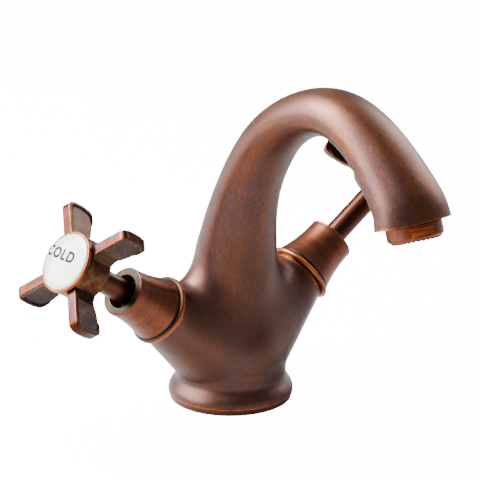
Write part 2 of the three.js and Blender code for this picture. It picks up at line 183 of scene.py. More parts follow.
# %% [markdown]
# ## Measuring a surface for its finish
# Antique copper is blackened all over and then rubbed back, so bare orange metal shows on edges and the
# dark stays in the corners. The finish therefore has to know where the surface is sharp or hollow. A point
# that lies outside the average of its neighbours is on an edge, and one inside it is in a hollow. That is
# stored on the points as "edge", where a material can read it.

# %% Edge measure
def point_array(mesh):
    flat = np.empty(len(mesh.vertices) * 3)
    mesh.vertices.foreach_get("co", flat)
    return flat.reshape(-1, 3)


def relaxed(points, ends, rounds):
    """The points after some rounds of averaging with their neighbours."""
    count = len(points)
    valence = np.bincount(ends.ravel(), minlength=count)[:, None]
    for _ in range(rounds):
        total = np.stack([
            np.bincount(ends[:, 0], points[ends[:, 1], k], count)
            + np.bincount(ends[:, 1], points[ends[:, 0], k], count)
            for k in range(3)
        ], axis=1)
        points = 0.5 * points + 0.5 * total / np.maximum(valence, 1)
    return points


def store(mesh, name, values):
    kind = "FLOAT_VECTOR" if values.ndim == 2 else "FLOAT"
    field = "vector" if values.ndim == 2 else "value"
    layer = mesh.attributes.new(name, kind, "POINT")
    layer.data.foreach_set(field, values.astype(np.float32).ravel())


def edge_ends(mesh):
    ends = np.empty(len(mesh.edges) * 2, dtype=np.int64)
    mesh.edges.foreach_get("vertices", ends)
    return ends.reshape(-1, 2)


def normal_array(mesh):
    flat = np.empty(len(mesh.vertices) * 3)
    mesh.vertices.foreach_get("normal", flat)
    return flat.reshape(-1, 3)


def proudness(mesh, rounds):
    """How far each point stands proud of its surroundings, in millimetres."""
    points = point_array(mesh)
    moved = points - relaxed(points, edge_ends(mesh), rounds)
    return (moved * normal_array(mesh)).sum(axis=1) / MM


def measure_edges(obj, rounds, reach):
    """Stores the proudness of each point, as a part of reach (in millimetres)."""
    store(obj.data, "edge", np.clip(proudness(obj.data, rounds) / reach, -1, 1))


# %% [markdown]
# ## The casting
# The body and the spout are one brass casting, polished so that no join shows. A sculptor would block it
# out from simple volumes and melt them together, and that is done here: an oval tube swept along the
# spout's line, two tapered arms and a turned foot. A voxel remesh turns the overlapping shells into one
# skin. Smoothing then fills the corners where they meet, and fades out at the foot and the outlet, whose
# rims stay crisp.

# %% Casting sizes
SPOUT_STATIONS = (
    # along the spout: y, z, half depth, half width
    (0, 9, 22.5, 22.5),
    (0, 24, 24, 25),
    (-0.6, 40, 20, 25.4),
    (-2.4, 56, 16, 22.4),
    (-4.4, 70, 13.7, 19.0),
    (-7.4, 83, 12.1, 17.1),
    (-12.2, 96, 11.1, 15.6),
    (-19.2, 109, 10.6, 14.8),
    (-29.0, 121.7, 10.2, 14.3),
    (-41.5, 131.2, 9.9, 13.9),
    (-55.5, 137.1, 9.7, 13.6),
    (-69.0, 138.4, 9.5, 13.4),
    (-82.0, 134.5, 9.7, 13.6),
    (-94.0, 126.8, 10.2, 14.3),
    (-104.1, 117.0, 11.2, 15.5),
    (-109.8, 110.2, 11.8, 16.4),
    (-112, 104.5, 12.3, 17.2),
)
RINGS_PER_STATION = 5
OVAL_SIDES = 72
FLANGE_R, FLANGE_RIM, FLANGE_TUCK = 27.0, 2.9, 0.9
WAIST_R, WAIST_Z = 23.7, 10.8
ARM_END, ARM_END_R, ARM_TAPER = 44.6, 13.0, 0.27
OVERRUN = 1.6  # spare length at each open end, faced off later so that its rim is crisp


def catmull_rom(a, b, c, d, t):
    """A smooth curve from b to c, which a and d steer."""
    square = 2 * a - 5 * b + 4 * c - d
    cube = 3 * b - a - 3 * c + d
    return 0.5 * (2 * b + (c - a) * t + square * t ** 2 + cube * t ** 3)


def spout_line():
    """Rows of y, z, half depth and half width, close together along the spout."""
    rows = np.array(SPOUT_STATIONS, dtype=float)
    padded = np.vstack([2 * rows[0] - rows[1], rows, 2 * rows[-1] - rows[-2]])
    line = [
        catmull_rom(*padded[i:i + 4], step / RINGS_PER_STATION)
        for i in range(len(rows) - 1)
        for step in range(RINGS_PER_STATION)
    ]
    return np.array(line + [rows[-1]])


line = spout_line()
tangents = np.gradient(line[:, :2], axis=0)
tangents /= np.linalg.norm(tangents, axis=1)[:, None]
run = np.concatenate([[0], np.cumsum(np.linalg.norm(np.diff(line[:, :2], axis=0), axis=1))])
print("spout line", len(line), "rings,", round(run[-1]), "mm long")


# %% [markdown]
# ### Blocking out the casting
# An oval is a unit circle, stretched one way by the spout's width and the other way by its depth. One
# stands across the line at every row, and each is bridged to the next. The arms and the foot are turned.
# The shells overlap freely, because the voxel remesh keeps only their common outside.

# %% Casting volumes
def section_matrix(row, tangent):
    """Stands a unit circle across the spout's line and stretches it to the oval."""
    y, z, depth, width = row
    along = Vector((0, *tangent))
    sideways = Vector((1, 0, 0))
    inward = sideways.cross(along)
    basis = Matrix((sideways * width, inward * depth, -along)).transposed().to_4x4()
    return Matrix.Translation((0, y, z)) @ basis


def spout_volume(bm):
    spare_row = line[-1] + [*tangents[-1] * OVERRUN, 0, 0]
    rows = [*zip(line, tangents), (spare_row, tangents[-1])]
    rings = []
    for i, (row, tangent) in enumerate(rows):
        made = bmesh.ops.create_circle(
            bm, cap_ends=i in (0, len(rows) - 1), segments=OVAL_SIDES, radius=1,
            matrix=section_matrix(row, tangent),
        )
        ring = set(made["verts"])
        rings.append([e for v in ring for e in v.link_edges if e.other_vert(v) in ring])
    for lower, upper in zip(rings, rings[1:]):
        bmesh.ops.bridge_loops(bm, edges=list(set(lower) | set(upper)))


def add_turned(bm, outline, place):
    """Adds a turned shell to a mesh that already holds others."""
    shell = bmesh.new()
    spun(shell, outline)
    shell.transform(place)
    spare = mesh_from(shell, "shell")
    bm.from_mesh(spare)
    bpy.data.meshes.remove(spare)


def arm_volume(bm, side):
    inner_end, belly = -6, 10
    belly_r = ARM_END_R + (ARM_END - belly) * ARM_TAPER
    outline = [
        (0, inner_end), (belly_r - 2, inner_end), (belly_r, belly),
        (ARM_END_R, ARM_END), (ARM_END_R, ARM_END + OVERRUN), (0, ARM_END + OVERRUN),
    ]
    add_turned(bm, outline, arm[side])


def foot_volume(bm):
    """A flange that tucks in below its rim, and rises to the waist in an ogee."""
    ogee_steps, ogee_lean = 12, 1.25
    tucked = FLANGE_R - FLANGE_TUCK
    outline = [(0, -OVERRUN), (tucked, -OVERRUN), (tucked, 0.1), (FLANGE_R - 0.35, 1.2)]
    for i in range(ogee_steps + 1):
        part = i / ogee_steps
        inward = (1 - math.cos(math.pi * part ** ogee_lean)) / 2
        outline.append((
            FLANGE_R - (FLANGE_R - WAIST_R) * inward,
            FLANGE_RIM + (WAIST_Z - FLANGE_RIM) * part,
        ))
    outline += [(WAIST_R + 0.5, WAIST_Z + 6), (0, WAIST_Z + 6)]
    add_turned(bm, outline, Matrix.Identity(4))


blank = bmesh.new()
spout_volume(blank)
foot_volume(blank)
for side in SIDES:
    arm_volume(blank, side)
bmesh.ops.recalc_face_normals(blank, faces=blank.faces)
casting = piece("casting", mesh_from(blank, "casting"))
CASTING_VOXEL = 0.75
voxel_union(casting, CASTING_VOXEL, 8)
print("casting skin", len(casting.data.vertices), "points")

# %% [markdown]
# ### Fillets where the volumes meet
# The foundry rounds the corner between the neck and the arms, so that the metal flows in. To do the same,
# the hollow corners are found with the edge measure, the mask is spread over the surface round them, and
# only those points are relaxed, many hundred times. The skin pulls tight across the corner like soap film.

# %% Casting fillets
FILLET_ROUNDS, FILLET_SPREAD = 1600, 32


def ramp(values, start, end):
    """Rises smoothly from 0 at start to 1 at end."""
    t = np.clip((values - start) / (end - start), 0, 1)
    return t * t * (3 - 2 * t)


def spread_mask(mask, ends, steps):
    """Carries a mask outwards along the mesh, fading to nothing after a number of steps."""
    for _ in range(steps):
        grown = mask.copy()
        np.maximum.at(grown, ends[:, 0], mask[ends[:, 1]] - 1 / steps)
        np.maximum.at(grown, ends[:, 1], mask[ends[:, 0]] - 1 / steps)
        mask = grown
    return ramp(mask, 0, 1)


def crotches(obj):
    """1 in the hollow corners above the waist, fading out round them and at the collars."""
    points = point_array(obj.data)
    hollow = (proudness(obj.data, 12) < -0.10).astype(float)
    x, y, z = (points / MM).T
    hollow *= (z > WAIST_Z + 8) & (z < 90)
    strength = spread_mask(hollow, edge_ends(obj.data), FILLET_SPREAD)
    for side in SIDES:
        origin = np.array(arm[side].translation)
        axis = np.array(arm[side].to_3x3() @ Vector((0, 0, 1)))
        along = (points / MM - origin) @ axis
        strength *= 1 - ramp(along, ARM_END - 3.0, ARM_END - 0.3)
    return strength * ramp(z, WAIST_Z + 2, WAIST_Z + 10)


def relax_by(obj, strength, rounds):
    group = obj.vertex_groups.new(name="relax")
    for index, weight in enumerate(strength):
        if weight > 0.001:
            group.add([index], float(weight), "REPLACE")
    relax = obj.modifiers.new("fillets", "SMOOTH")
    relax.vertex_group = group.name
    relax.factor = 0.5
    relax.iterations = rounds
    modified(obj)
    obj.vertex_groups.clear()


relax_by(casting, crotches(casting), FILLET_ROUNDS)
print("fillets done")

# %% [markdown]
# ### Bores
# The casting is hollow where it takes other pieces: a bore in each arm for the headwork, one in the outlet
# for the aerator, and the sockets for the hoses and the stud in the foot. A drill is a cylinder, and the
# exact boolean takes it away.

# %% Casting bores
CHAMBER_R, CHAMBER_FLOOR = 8.9, 17.0
SEAT_R, SEAT_BOTTOM, PASSAGE_R, PASSAGE_BOTTOM = 6.6, 14.0, 4.2, 9.0
OUTLET_BORE_R, OUTLET_BORE_DEPTH = 10.1, 9.1
WATERWAY = 6.4
INLET_X, INLET_R, INLET_TOP = 10.0, 4.5, 27.0
STUD_Y, STUD_R, STUD_DEPTH = 14.0, 3.4, 15.0
SEAL_INNER, SEAL_OUTER, SEAL_DEPTH = 19.6, 23.4, 2.0
outlet = Vector((0, *line[-1, :2]))
stream = Vector((0, *tangents[-1]))
turn_to_stream = Vector((0, 0, 1)).rotation_difference(stream).to_matrix().to_4x4()
outlet_matrix = Matrix.Translation(outlet) @ turn_to_stream


def drill(name, outline, place):
    bm = bmesh.new()
    spun(bm, outline, 64)
    return piece(name, mesh_from(bm, name), place)


def rod(radius, bottom, top):
    return [(0, bottom), (radius, bottom), (radius, top), (0, top)]


def ring(inner, outer, bottom, top):
    return [(inner, bottom), (outer, bottom), (outer, top), (inner, top)]


def cut(obj, drills):
    for tool in drills:
        boolean = obj.modifiers.new(tool.name, "BOOLEAN")
        boolean.operation = "DIFFERENCE"
        boolean.solver = "EXACT"
        boolean.object = tool
    modified(obj)
    for tool in drills:
        bpy.data.objects.remove(tool)


facing_r = 22
drills = [
    drill("outlet_face", rod(facing_r, 0, OVERRUN * 3), outlet_matrix),
    drill("foot_face", rod(2 * facing_r, -OVERRUN * 3, 0), Matrix.Identity(4)),
    drill("outlet_bore", rod(OUTLET_BORE_R, -OUTLET_BORE_DEPTH, 1), outlet_matrix),
    drill("outlet_waterway", rod(WATERWAY, -OUTLET_BORE_DEPTH - 8, 0), outlet_matrix),
    drill("seal_groove", ring(SEAL_INNER, SEAL_OUTER, -1, SEAL_DEPTH), Matrix.Identity(4)),
    drill("stud_socket", rod(STUD_R, -1, STUD_DEPTH), Matrix.Translation((0, STUD_Y, 0))),
]
for side, sign in zip(SIDES, (-1, 1)):
    inlet_place = Matrix.Translation((sign * INLET_X, 0, 0))
    drills += [
        drill(f"{side}_face", rod(ARM_END_R + 1.5, ARM_END, ARM_END + OVERRUN * 2), arm[side]),
        drill(f"{side}_chamber", rod(CHAMBER_R, CHAMBER_FLOOR, ARM_END + 1), arm[side]),
        drill(f"{side}_seat_socket", rod(SEAT_R, SEAT_BOTTOM, CHAMBER_FLOOR + 0.5), arm[side]),
        drill(f"{side}_passage", rod(PASSAGE_R, PASSAGE_BOTTOM, SEAT_BOTTOM + 0.5), arm[side]),
        drill(f"{side}_inlet", rod(INLET_R, -1, INLET_TOP), inlet_place),
    ]
cut(casting, drills)
smooth_shaded(casting, 40)


def rubbed_rims(mesh):
    """Adds the rims that the mop always reaches to the edge measure, and dulls the band under the flange."""
    edge_reach, rim_width, lip_width, rubbed, dulled = 0.35, 0.6, 0.5, 0.8, -0.25
    points = point_array(mesh) / MM
    edge = np.clip(proudness(mesh, 10) / edge_reach, -1, 1)
    x, y, z = points.T
    from_axis = np.hypot(x, y)
    at_rim = np.exp(-((z - FLANGE_RIM) / rim_width) ** 2) * (from_axis > FLANGE_R - 1.2)
    below_rim = (z < FLANGE_RIM) & (from_axis > FLANGE_R - 1.6)
    edge = np.where(below_rim, dulled, edge)
    drop = (points - np.array(outlet)) @ np.array(stream)
    from_outlet = np.linalg.norm(points - np.array(outlet), axis=1)
    on_lip = (from_outlet > OUTLET_BORE_R + 1.5) & (from_outlet < 20)
    at_outlet = np.exp(-(drop / lip_width) ** 2) * on_lip
    store(mesh, "edge", np.maximum(edge, rubbed * np.maximum(at_rim, at_outlet)))


rubbed_rims(casting.data)
print("casting", len(casting.data.polygons), "faces")

# %% [markdown]
# ### The direction of the brushing
# The finisher's pad ran along the spout, round the bend, and down the body. A streak that follows the bend
# can't be drawn in straight coordinates, so each point of the casting is given its own: across, deep and
# along the spout's line. They are stored as "flow", and the finish stretches its noise along the third.

# %% Flow of the brushing
def store_flow(obj):
    points = point_array(obj.data) / MM
    flow = np.empty_like(points)
    chunk = 4000
    for start in range(0, len(points), chunk):
        part = points[start:start + chunk]
        offset = part[:, None, 1:] - line[None, :, :2]
        nearest = (offset ** 2).sum(axis=2).argmin(axis=1)
        rest = part[:, 1:] - line[nearest, :2]
        tangent = tangents[nearest]
        flow[start:start + chunk, 0] = part[:, 0]
        flow[start:start + chunk, 1] = rest[:, 0] * tangent[:, 1] - rest[:, 1] * tangent[:, 0]
        flow[start:start + chunk, 2] = run[nearest] + (rest * tangent).sum(axis=1)
    store(obj.data, "flow", flow * MM)


store_flow(casting)
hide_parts("body_casting")
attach(casting, "root")
print("casting in place")

# %% [markdown]
# ## Turned pieces
# The covers, the collars and the bezels come off a lathe, and a lathe leaves small rounds on its corners.
# An outline is drawn with sharp corners and a radius for each, the corners are eased, and the long
# stretches are divided into short steps. Even steps matter: the edge measure compares neighbours.

# %% Outline helpers
def eased_corner(before, corner, after, radius):
    """Three or more points that round one corner of an outline."""
    b, c, a = (np.array(p[:2], dtype=float) for p in (before, corner, after))
    to_b, to_a = b - c, a - c
    reach = min(radius, 0.45 * np.linalg.norm(to_b), 0.45 * np.linalg.norm(to_a))
    start = c + to_b / np.linalg.norm(to_b) * reach
    end = c + to_a / np.linalg.norm(to_a) * reach
    steps = 6
    return [
        (1 - t) ** 2 * start + 2 * t * (1 - t) * c + t ** 2 * end
        for t in (i / steps for i in range(steps + 1))
    ]


def eased(outline, step=0.3):
    """Rounds the corners of an outline of (radius, height, corner radius), and divides it evenly."""
    on_axis = outline[0][0] == 0 and outline[-1][0] == 0
    points = []
    for i, corner in enumerate(outline):
        is_end = on_axis and i in (0, len(outline) - 1)
        radius = corner[2] if len(corner) > 2 else 0
        if is_end or radius == 0:
            points.append(np.array(corner[:2], dtype=float))
        else:
            points += eased_corner(outline[i - 1], corner, outline[(i + 1) % len(outline)], radius)
    closed = points if on_axis else points + [points[0]]
    fine = []
    for a, b in zip(closed, closed[1:]):
        parts = max(1, round(float(np.linalg.norm(b - a)) / step))
        fine += [tuple(a + (b - a) * k / parts) for k in range(parts)]
    return fine + [tuple(closed[-1])] if on_axis else fine


def turned_piece(name, outline, place, steps=TURN_STEPS, step=0.3):
    """A turned object, with its points' places on the lathe kept as "turned"."""
    bm = bmesh.new()
    spun(bm, eased(outline, step), steps)
    mesh = mesh_from(bm, name)
    store(mesh, "turned", point_array(mesh) * MM)
    obj = piece(name, mesh, place)
    smooth_shaded(obj, 50)
    return obj


# %% [markdown]
# ## Valve covers
# A bell-shaped cover slides over the headwork of each valve and hides it. Its wide end has a rolled collar
# with a groove behind it, its waist narrows in a hollow curve, and a hole in its small end lets the
# spindle through. The bell's curve is a parabola, which starts level at the small end, as a spun cover's
# does.

# %% Cover sizes
COLLAR_R, COLLAR_BACK, COLLAR_FRONT = 14.95, 45.5, 47.5
BELL_WIDE_R, BELL_NARROW_R = 13.5, 10.55
BELL_START, BELL_END = 48.5, 67.0
FACE_S, FACE_HOLE_R = 68.6, 7.26
bell_steps = 7


def bell(part):
    """Radius and height on the bell, from its wide end (0) to its narrow end (1)."""
    radius = BELL_NARROW_R + (BELL_WIDE_R - BELL_NARROW_R) * (1 - part) ** 2
    return (radius, BELL_START + (BELL_END - BELL_START) * part, 2)


cover_outline = [
    (12.4, COLLAR_BACK, 0.2), (14.4, COLLAR_BACK, 0.6), (COLLAR_R, 46.4, 0.6), (14.4, COLLAR_FRONT, 0.6),
    (13.35, 47.7, 0.25), (13.3, 48.2, 0.25),
    *[bell(i / bell_steps) for i in range(bell_steps + 1)],
    (BELL_NARROW_R - 0.12, 67.35, 0.15), (BELL_NARROW_R + 0.06, 67.7, 0.2),
    (BELL_NARROW_R + 0.05, 68.2, 0.3), (10.1, FACE_S, 0.35),
    (FACE_HOLE_R, FACE_S, 0.3), (FACE_HOLE_R, 66.4, 0.2),
    (9.2, 66.4, 0.3), (9.2, 56.2, 2), (12.4, 50.0, 1.5),
]
covers = {side: turned_piece(f"{side}_cover", cover_outline, arm[side], 144, 0.25) for side in SIDES}


def mark_end_face(obj, matrix, least_s):
    """Stores 1 on the flat end of a turned piece beyond a height, and 0 elsewhere."""
    mesh = obj.data
    axis = np.array(matrix.to_3x3() @ Vector((0, 0, 1)))
    facing = normal_array(mesh) @ axis
    turned = np.empty(len(mesh.vertices) * 3, dtype=np.float32)
    mesh.attributes["turned"].data.foreach_get("vector", turned)
    height = turned.reshape(-1, 3)[:, 2] / MM
    store(mesh, "end_face", ramp(facing, 0.85, 0.97) * (height > least_s))


for side, cover in covers.items():
    measure_edges(cover, 6, 0.10)
    mark_end_face(cover, arm[side], FACE_S - 0.3)
    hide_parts(f"{side}_shroud")
    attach(cover, "root")
print("covers", [len(c.data.polygons) for c in covers.values()])

# %% [markdown]
# ## Spindles and brass seats
# Each spindle is a turned rod: a nose for the jumper, a stretch of screw thread, a long shank that shows
# between the cover and the handle, and a smaller end that carries the handle. The thin brass ring that
# the cover's collar stands on shows as a bright line where the collar ends.

# %% Spindles and seat rings
SPINDLE_R = 4.93
THREAD_START, THREAD_PITCH, THREAD_TURNS = 34.3, 0.9, 7
THREAD_CREST, THREAD_ROOT = 5.6, 5.1
thread = []
for i in range(THREAD_TURNS):
    height = THREAD_START + i * THREAD_PITCH
    thread += [
        (THREAD_ROOT, height + 0.15, 0),
        (THREAD_CREST, height + 0.45, 0),
        (THREAD_ROOT, height + 0.85, 0),
    ]
spindle_outline = [
    (0, 23), (4.6, 23, 0.3), (4.6, 34.2, 0.2), *thread, (SPINDLE_R, 41.3, 0.2),
    (SPINDLE_R, 87.7, 0.3), (3.6, 87.7, 0.1), (3.6, 95.4, 0.3), (0, 95.4),
]
JUMPER_BORE_R, JUMPER_BORE_TOP = 2.5, 32.5
SCREW_BORE_R, SCREW_BORE_BOTTOM = 2.2, 84.0
SEAT_RING = ((11.7, 44.9, 0.05), (13.45, 44.9, 0.1), (13.45, 45.2, 0.1), (11.7, 45.2, 0.05))

spindles = {}
for side in SIDES:
    place = arm[side] @ lift[side]
    spindle = turned_piece(f"{side}_spindle_shaft", spindle_outline, place, 64)
    cut(spindle, [
        drill("jumper_bore", rod(JUMPER_BORE_R, 22, JUMPER_BORE_TOP), place),
        drill("screw_bore", rod(SCREW_BORE_R, SCREW_BORE_BOTTOM, 96), place),
    ])
    smooth_shaded(spindle, 50)
    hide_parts(f"{side}_spindle")
    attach(spindle, f"{side}_turning")
    spindles[side] = spindle

seat_rings = {side: turned_piece(f"{side}_brass_ring", SEAT_RING, arm[side], 128, 0.2) for side in SIDES}
for side, seat_ring in seat_rings.items():
    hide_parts(f"{side}_seat_ring")
    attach(seat_ring, "root")
print("spindles and rings made")

# %% [markdown]
# ## Cross handles
# A cross handle is one casting: a round hub with four blades. A blade is a thick plate that stands on the
# hub. Its broad faces are sunk a little inside a raised border, it flares where it joins the hub, and
# polishing has rounded all its edges. A plate is drawn as a flat outline, extruded and inset, four copies
# are turned round the hub, and a fine voxel remesh makes them one casting.

# %% Blade sizes
HUB_BACK, HUB_FRONT, HUB_R = 88.0, 100.2, 12.7
BLADE_BACK, BLADE_FRONT, BLADE_TIP = 85.8, 100.1, 30.0
BLADE_THICKNESS, BLADE_ROOT = 4.6, 8.0
BLADE_COUNT = 4
FIRST_BLADE = {"cold": math.radians(41), "hot": math.radians(48)}
BORDER, PANEL_DEPTH = 1.5, 0.55
FLARE_START, FLARE_END, FLARE_THICKNESS = 11.0, 16.2, 7.6
HANDLE_VOXEL, HANDLE_SOFTENING = 0.26, 16


def blade_outline():
    """Points of (distance from the axis, height) round one blade, whose back sweeps out to the tip."""
    tip, front, back = BLADE_TIP, BLADE_FRONT, BLADE_BACK
    corners = [
        (BLADE_ROOT, front - 0.2, 0), (tip, front, 3.4), (tip + 0.75, (front + back) / 2, 2),
        (tip - 0.4, back, 3.0), (tip - 7, back + 0.6, 3), (HUB_R + 5, back + 1.6, 3),
        (HUB_R + 1.5, back + 3.2, 1.5), (BLADE_ROOT, back + 3.6, 0),
    ]
    return eased(corners, 0.8)


def border_outline():
    """The raised border: a band along the front of the blade and round its tip."""
    tip, front, back = BLADE_TIP, BLADE_FRONT, BLADE_BACK
    corners = [
        (BLADE_ROOT, front - 0.2, 0), (tip, front, 3.4), (tip + 0.75, (front + back) / 2, 2),
        (tip - 0.4, back, 3.0), (tip - 7, back + 0.6, 0.2), (tip - BORDER - 0.6, back + BORDER, 2.5),
        (tip + 0.55 - BORDER, (front + back) / 2, 2), (tip - BORDER, front - BORDER, 2.2),
        (BLADE_ROOT, front - BORDER, 0),
    ]
    return eased(corners, 0.8)


def raise_face(bm, face, way):
    """Draws a flat face out into a solid."""
    grown = bmesh.ops.extrude_face_region(bm, geom=[face], use_keep_orig=True)
    corners = [e for e in grown["geom"] if isinstance(e, bmesh.types.BMVert)]
    bmesh.ops.translate(bm, verts=corners, vec=way)


def add_plate(bm, outline, thickness):
    """A plate with the given outline, centred on the plane of the blade."""
    corners = [bm.verts.new((r, -thickness / 2, s)) for r, s in outline]
    plate = bm.faces.new(corners)
    raise_face(bm, plate, (0, thickness, 0))


def add_flare(bm):
    """The thicker root of a blade, tapering outwards."""
    bottom, top = HUB_BACK + 0.9, HUB_FRONT - 1.0
    thin = BLADE_THICKNESS / 2 - 0.5
    thick = FLARE_THICKNESS / 2
    shape = [(BLADE_ROOT, -thick), (FLARE_START, -thick), (FLARE_END, -thin),
             (FLARE_END, thin), (FLARE_START, thick), (BLADE_ROOT, thick)]
    base = bm.faces.new([bm.verts.new((x, y, bottom)) for x, y in shape])
    raise_face(bm, base, (0, 0, top - bottom))


def blade_mesh():
    """One blade with its border and its flare, drawn along +X."""
    bm = bmesh.new()
    add_plate(bm, blade_outline(), BLADE_THICKNESS - 2 * PANEL_DEPTH)
    add_plate(bm, border_outline(), BLADE_THICKNESS)
    add_flare(bm)
    bmesh.ops.triangulate(bm, faces=bm.faces)
    bmesh.ops.recalc_face_normals(bm, faces=bm.faces)
    return mesh_from(bm, "blade")


# %% [markdown]
# ### Joining and marking the handles
# The hub and its blades are melted into one skin, and then bored for the spindle and the screw. The
# narrow bands and the broad faces were polished differently, so their points are marked, by the way that
# their normals face. The finish reads the marks later.

# %% Handle castings
hub_outline = [
    (0, HUB_BACK), (HUB_R, HUB_BACK, 1.4), (HUB_R, HUB_FRONT, 0.5), (0, HUB_FRONT),
]
SPINDLE_BORE_R, SPINDLE_BORE_TOP = 3.9, 96.3
SCREW_POCKET_R = 4.6


def cross_handle(side):
    bm = bmesh.new()
    spun(bm, eased(hub_outline, 1.0))
    blade = blade_mesh()
    blade.transform(Matrix.Rotation(FIRST_BLADE[side], 4, "Z"))
    for _ in range(BLADE_COUNT):
        bm.from_mesh(blade)
        blade.transform(Matrix.Rotation(2 * math.pi / BLADE_COUNT, 4, "Z"))
    bpy.data.meshes.remove(blade)
    handle = piece(f"{side}_cross_handle", mesh_from(bm, "handle"))
    voxel_union(handle, HANDLE_VOXEL, HANDLE_SOFTENING)
    upright = Matrix.Identity(4)
    cut(handle, [
        drill("spindle_bore", rod(SPINDLE_BORE_R, HUB_BACK - 1, SPINDLE_BORE_TOP), upright),
        drill("screw_pocket", rod(SCREW_POCKET_R, SPINDLE_BORE_TOP, HUB_FRONT + 1), upright),
    ])
    return handle


def mark_rim(obj, side):
    """Stores 1 on the narrow front, tip and back bands of the blades, and 0 on their broad faces."""
    mesh = obj.data
    local = point_array(mesh) / MM
    normals = normal_array(mesh)
    angle = np.arctan2(local[:, 1], local[:, 0]) - FIRST_BLADE[side]
    quarter = 2 * math.pi / BLADE_COUNT
    nearest = FIRST_BLADE[side] + np.round(angle / quarter) * quarter
    broad = np.abs(normals[:, 1] * np.cos(nearest) - normals[:, 0] * np.sin(nearest))
    from_axis = np.hypot(local[:, 0], local[:, 1])
    on_blade = ramp(from_axis, HUB_R + 0.2, HUB_R + 1.0)
    front = ramp(normals[:, 2], 0.3, 0.7)
    store(mesh, "rim", on_blade * (1 - ramp(broad, 0.45, 0.8)) + (1 - on_blade) * front)
    store(mesh, "blade", ramp(from_axis, HUB_R + 0.2, HUB_R + 0.7))


handles = {}
for side in SIDES:
    handle = cross_handle(side)
    smooth_shaded(handle, 50)
    measure_edges(handle, 14, 0.22)
    mark_rim(handle, side)
    store(handle.data, "turned", point_array(handle.data))
    handle.data.transform(Matrix.Scale(MM, 4) @ arm[side] @ lift[side] @ Matrix.Scale(1 / MM, 4))
    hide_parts(f"{side}_handle")
    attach(handle, f"{side}_turning")
    handles[side] = handle
print("handles", [len(h.data.polygons) for h in handles.values()])

# %% [markdown]
# ## Index rings and discs
# A thin copper bezel holds a glazed porcelain disc on the front of each hub. The disc is slightly domed,
# so that it throws one soft highlight, and its rim is rounded where the glaze drew back. The word on it
# is printed and fired. Blender's own font gives its letters, made a mesh and laid on the dome.

# %% Discs, bezels and letters
DISC_R, DISC_BOTTOM, DISC_RIM, DISC_CROWN = 12.1, 101.4, 102.0, 103.6
bezel_outline = [
    (10.5, 100.5, 0.1), (12.9, 100.5, 0.15), (13.05, 101.0, 0.2), (12.75, 101.25, 0.15),
    (13.05, 101.5, 0.2), (13.0, 102.1, 0.3), (12.4, 102.15, 0.25), (12.4, 101.1, 0.1), (10.5, 101.1, 0.1),
]


def dome_height(radius):
    """Height of the disc's face at a distance from its centre."""
    return DISC_RIM + (DISC_CROWN - DISC_RIM) * np.sqrt(np.maximum(1 - (radius / DISC_R) ** 2, 0))


dome_steps = 24
dome = [
    (DISC_R * math.cos(turn), float(dome_height(DISC_R * math.cos(turn))), 0)
    for turn in (math.radians(90) * i / dome_steps for i in range(1, dome_steps))
]
disc_outline = [
    (0, DISC_BOTTOM), (DISC_R - 0.1, DISC_BOTTOM, 0.2), (DISC_R, DISC_RIM, 0.1), *dome, (0, DISC_CROWN),
]

LETTER_SIZE, LETTER_WEIGHT, LETTER_PROUD, LETTER_DEPTH = 6.2, 0.24, 0.08, 0.25
LETTER_BASELINE, LETTER_SPACING = 0.1, 1.18
LETTER_PLACE = {"cold": (1, 3.7), "hot": (-1, 0.0)}  # which way up on the valve's X, and how far off centre


def letters(side, word):
    """A word laid on the dome of a disc, upright when the valve is shut."""
    up, shift = LETTER_PLACE[side]
    curve = bpy.data.curves.new(f"{side}_word", "FONT")
    curve.body = word
    curve.size = LETTER_SIZE
    curve.offset = LETTER_WEIGHT
    curve.align_x = "CENTER"
    curve.space_character = LETTER_SPACING
    source = bpy.data.objects.new(f"{side}_word", curve)
    bpy.context.scene.collection.objects.link(source)
    flat = bpy.data.meshes.new_from_object(source.evaluated_get(bpy.context.evaluated_depsgraph_get()))
    bpy.data.objects.remove(source)
    bpy.data.curves.remove(curve)
    bm = bmesh.new()
    bm.from_mesh(flat)
    bpy.data.meshes.remove(flat)
    bmesh.ops.remove_doubles(bm, verts=bm.verts, dist=1e-4)
    bmesh.ops.triangulate(bm, faces=bm.faces)
    bmesh.ops.subdivide_edges(bm, edges=bm.edges, cuts=3, use_grid_fill=True)
    bmesh.ops.solidify(bm, geom=bm.faces[:] + bm.edges[:] + bm.verts[:], thickness=LETTER_DEPTH)
    bmesh.ops.recalc_face_normals(bm, faces=bm.faces)
    top = max(v.co.z for v in bm.verts)
    for v in bm.verts:
        x, y = up * (LETTER_BASELINE + v.co.y), up * (shift - v.co.x)
        sunk = top - v.co.z
        v.co = (x, y, float(dome_height(math.hypot(x, y))) + LETTER_PROUD - sunk)
    return piece(f"{side}_letters", mesh_from(bm, "letters"), arm[side] @ lift[side])


WORDS = {"cold": "COLD", "hot": "HOT"}
bezels, discs, words = {}, {}, {}
for side in SIDES:
    place = arm[side] @ lift[side]
    bezels[side] = turned_piece(f"{side}_bezel", bezel_outline, place, 128, 0.12)
    measure_edges(bezels[side], 6, 0.08)
    discs[side] = turned_piece(f"{side}_porcelain_disc", disc_outline, place, 128, 0.6)
    words[side] = letters(side, WORDS[side])
    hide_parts(f"{side}_index_ring")
    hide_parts(f"{side}_index_disc")
    for made in (bezels[side], discs[side], words[side]):
        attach(made, f"{side}_turning")
print("letters", {side: len(words[side].data.polygons) for side in SIDES})

# %% [markdown]
# ## The aerator
# The aerator's housing screws into the outlet. It is turned, and a pair of flats for a spanner is milled
# across its lower half. The lip under it is cut with small notches. Inside sit a plastic wheel of jets and
# a round of steel gauze, which mix air into the stream.

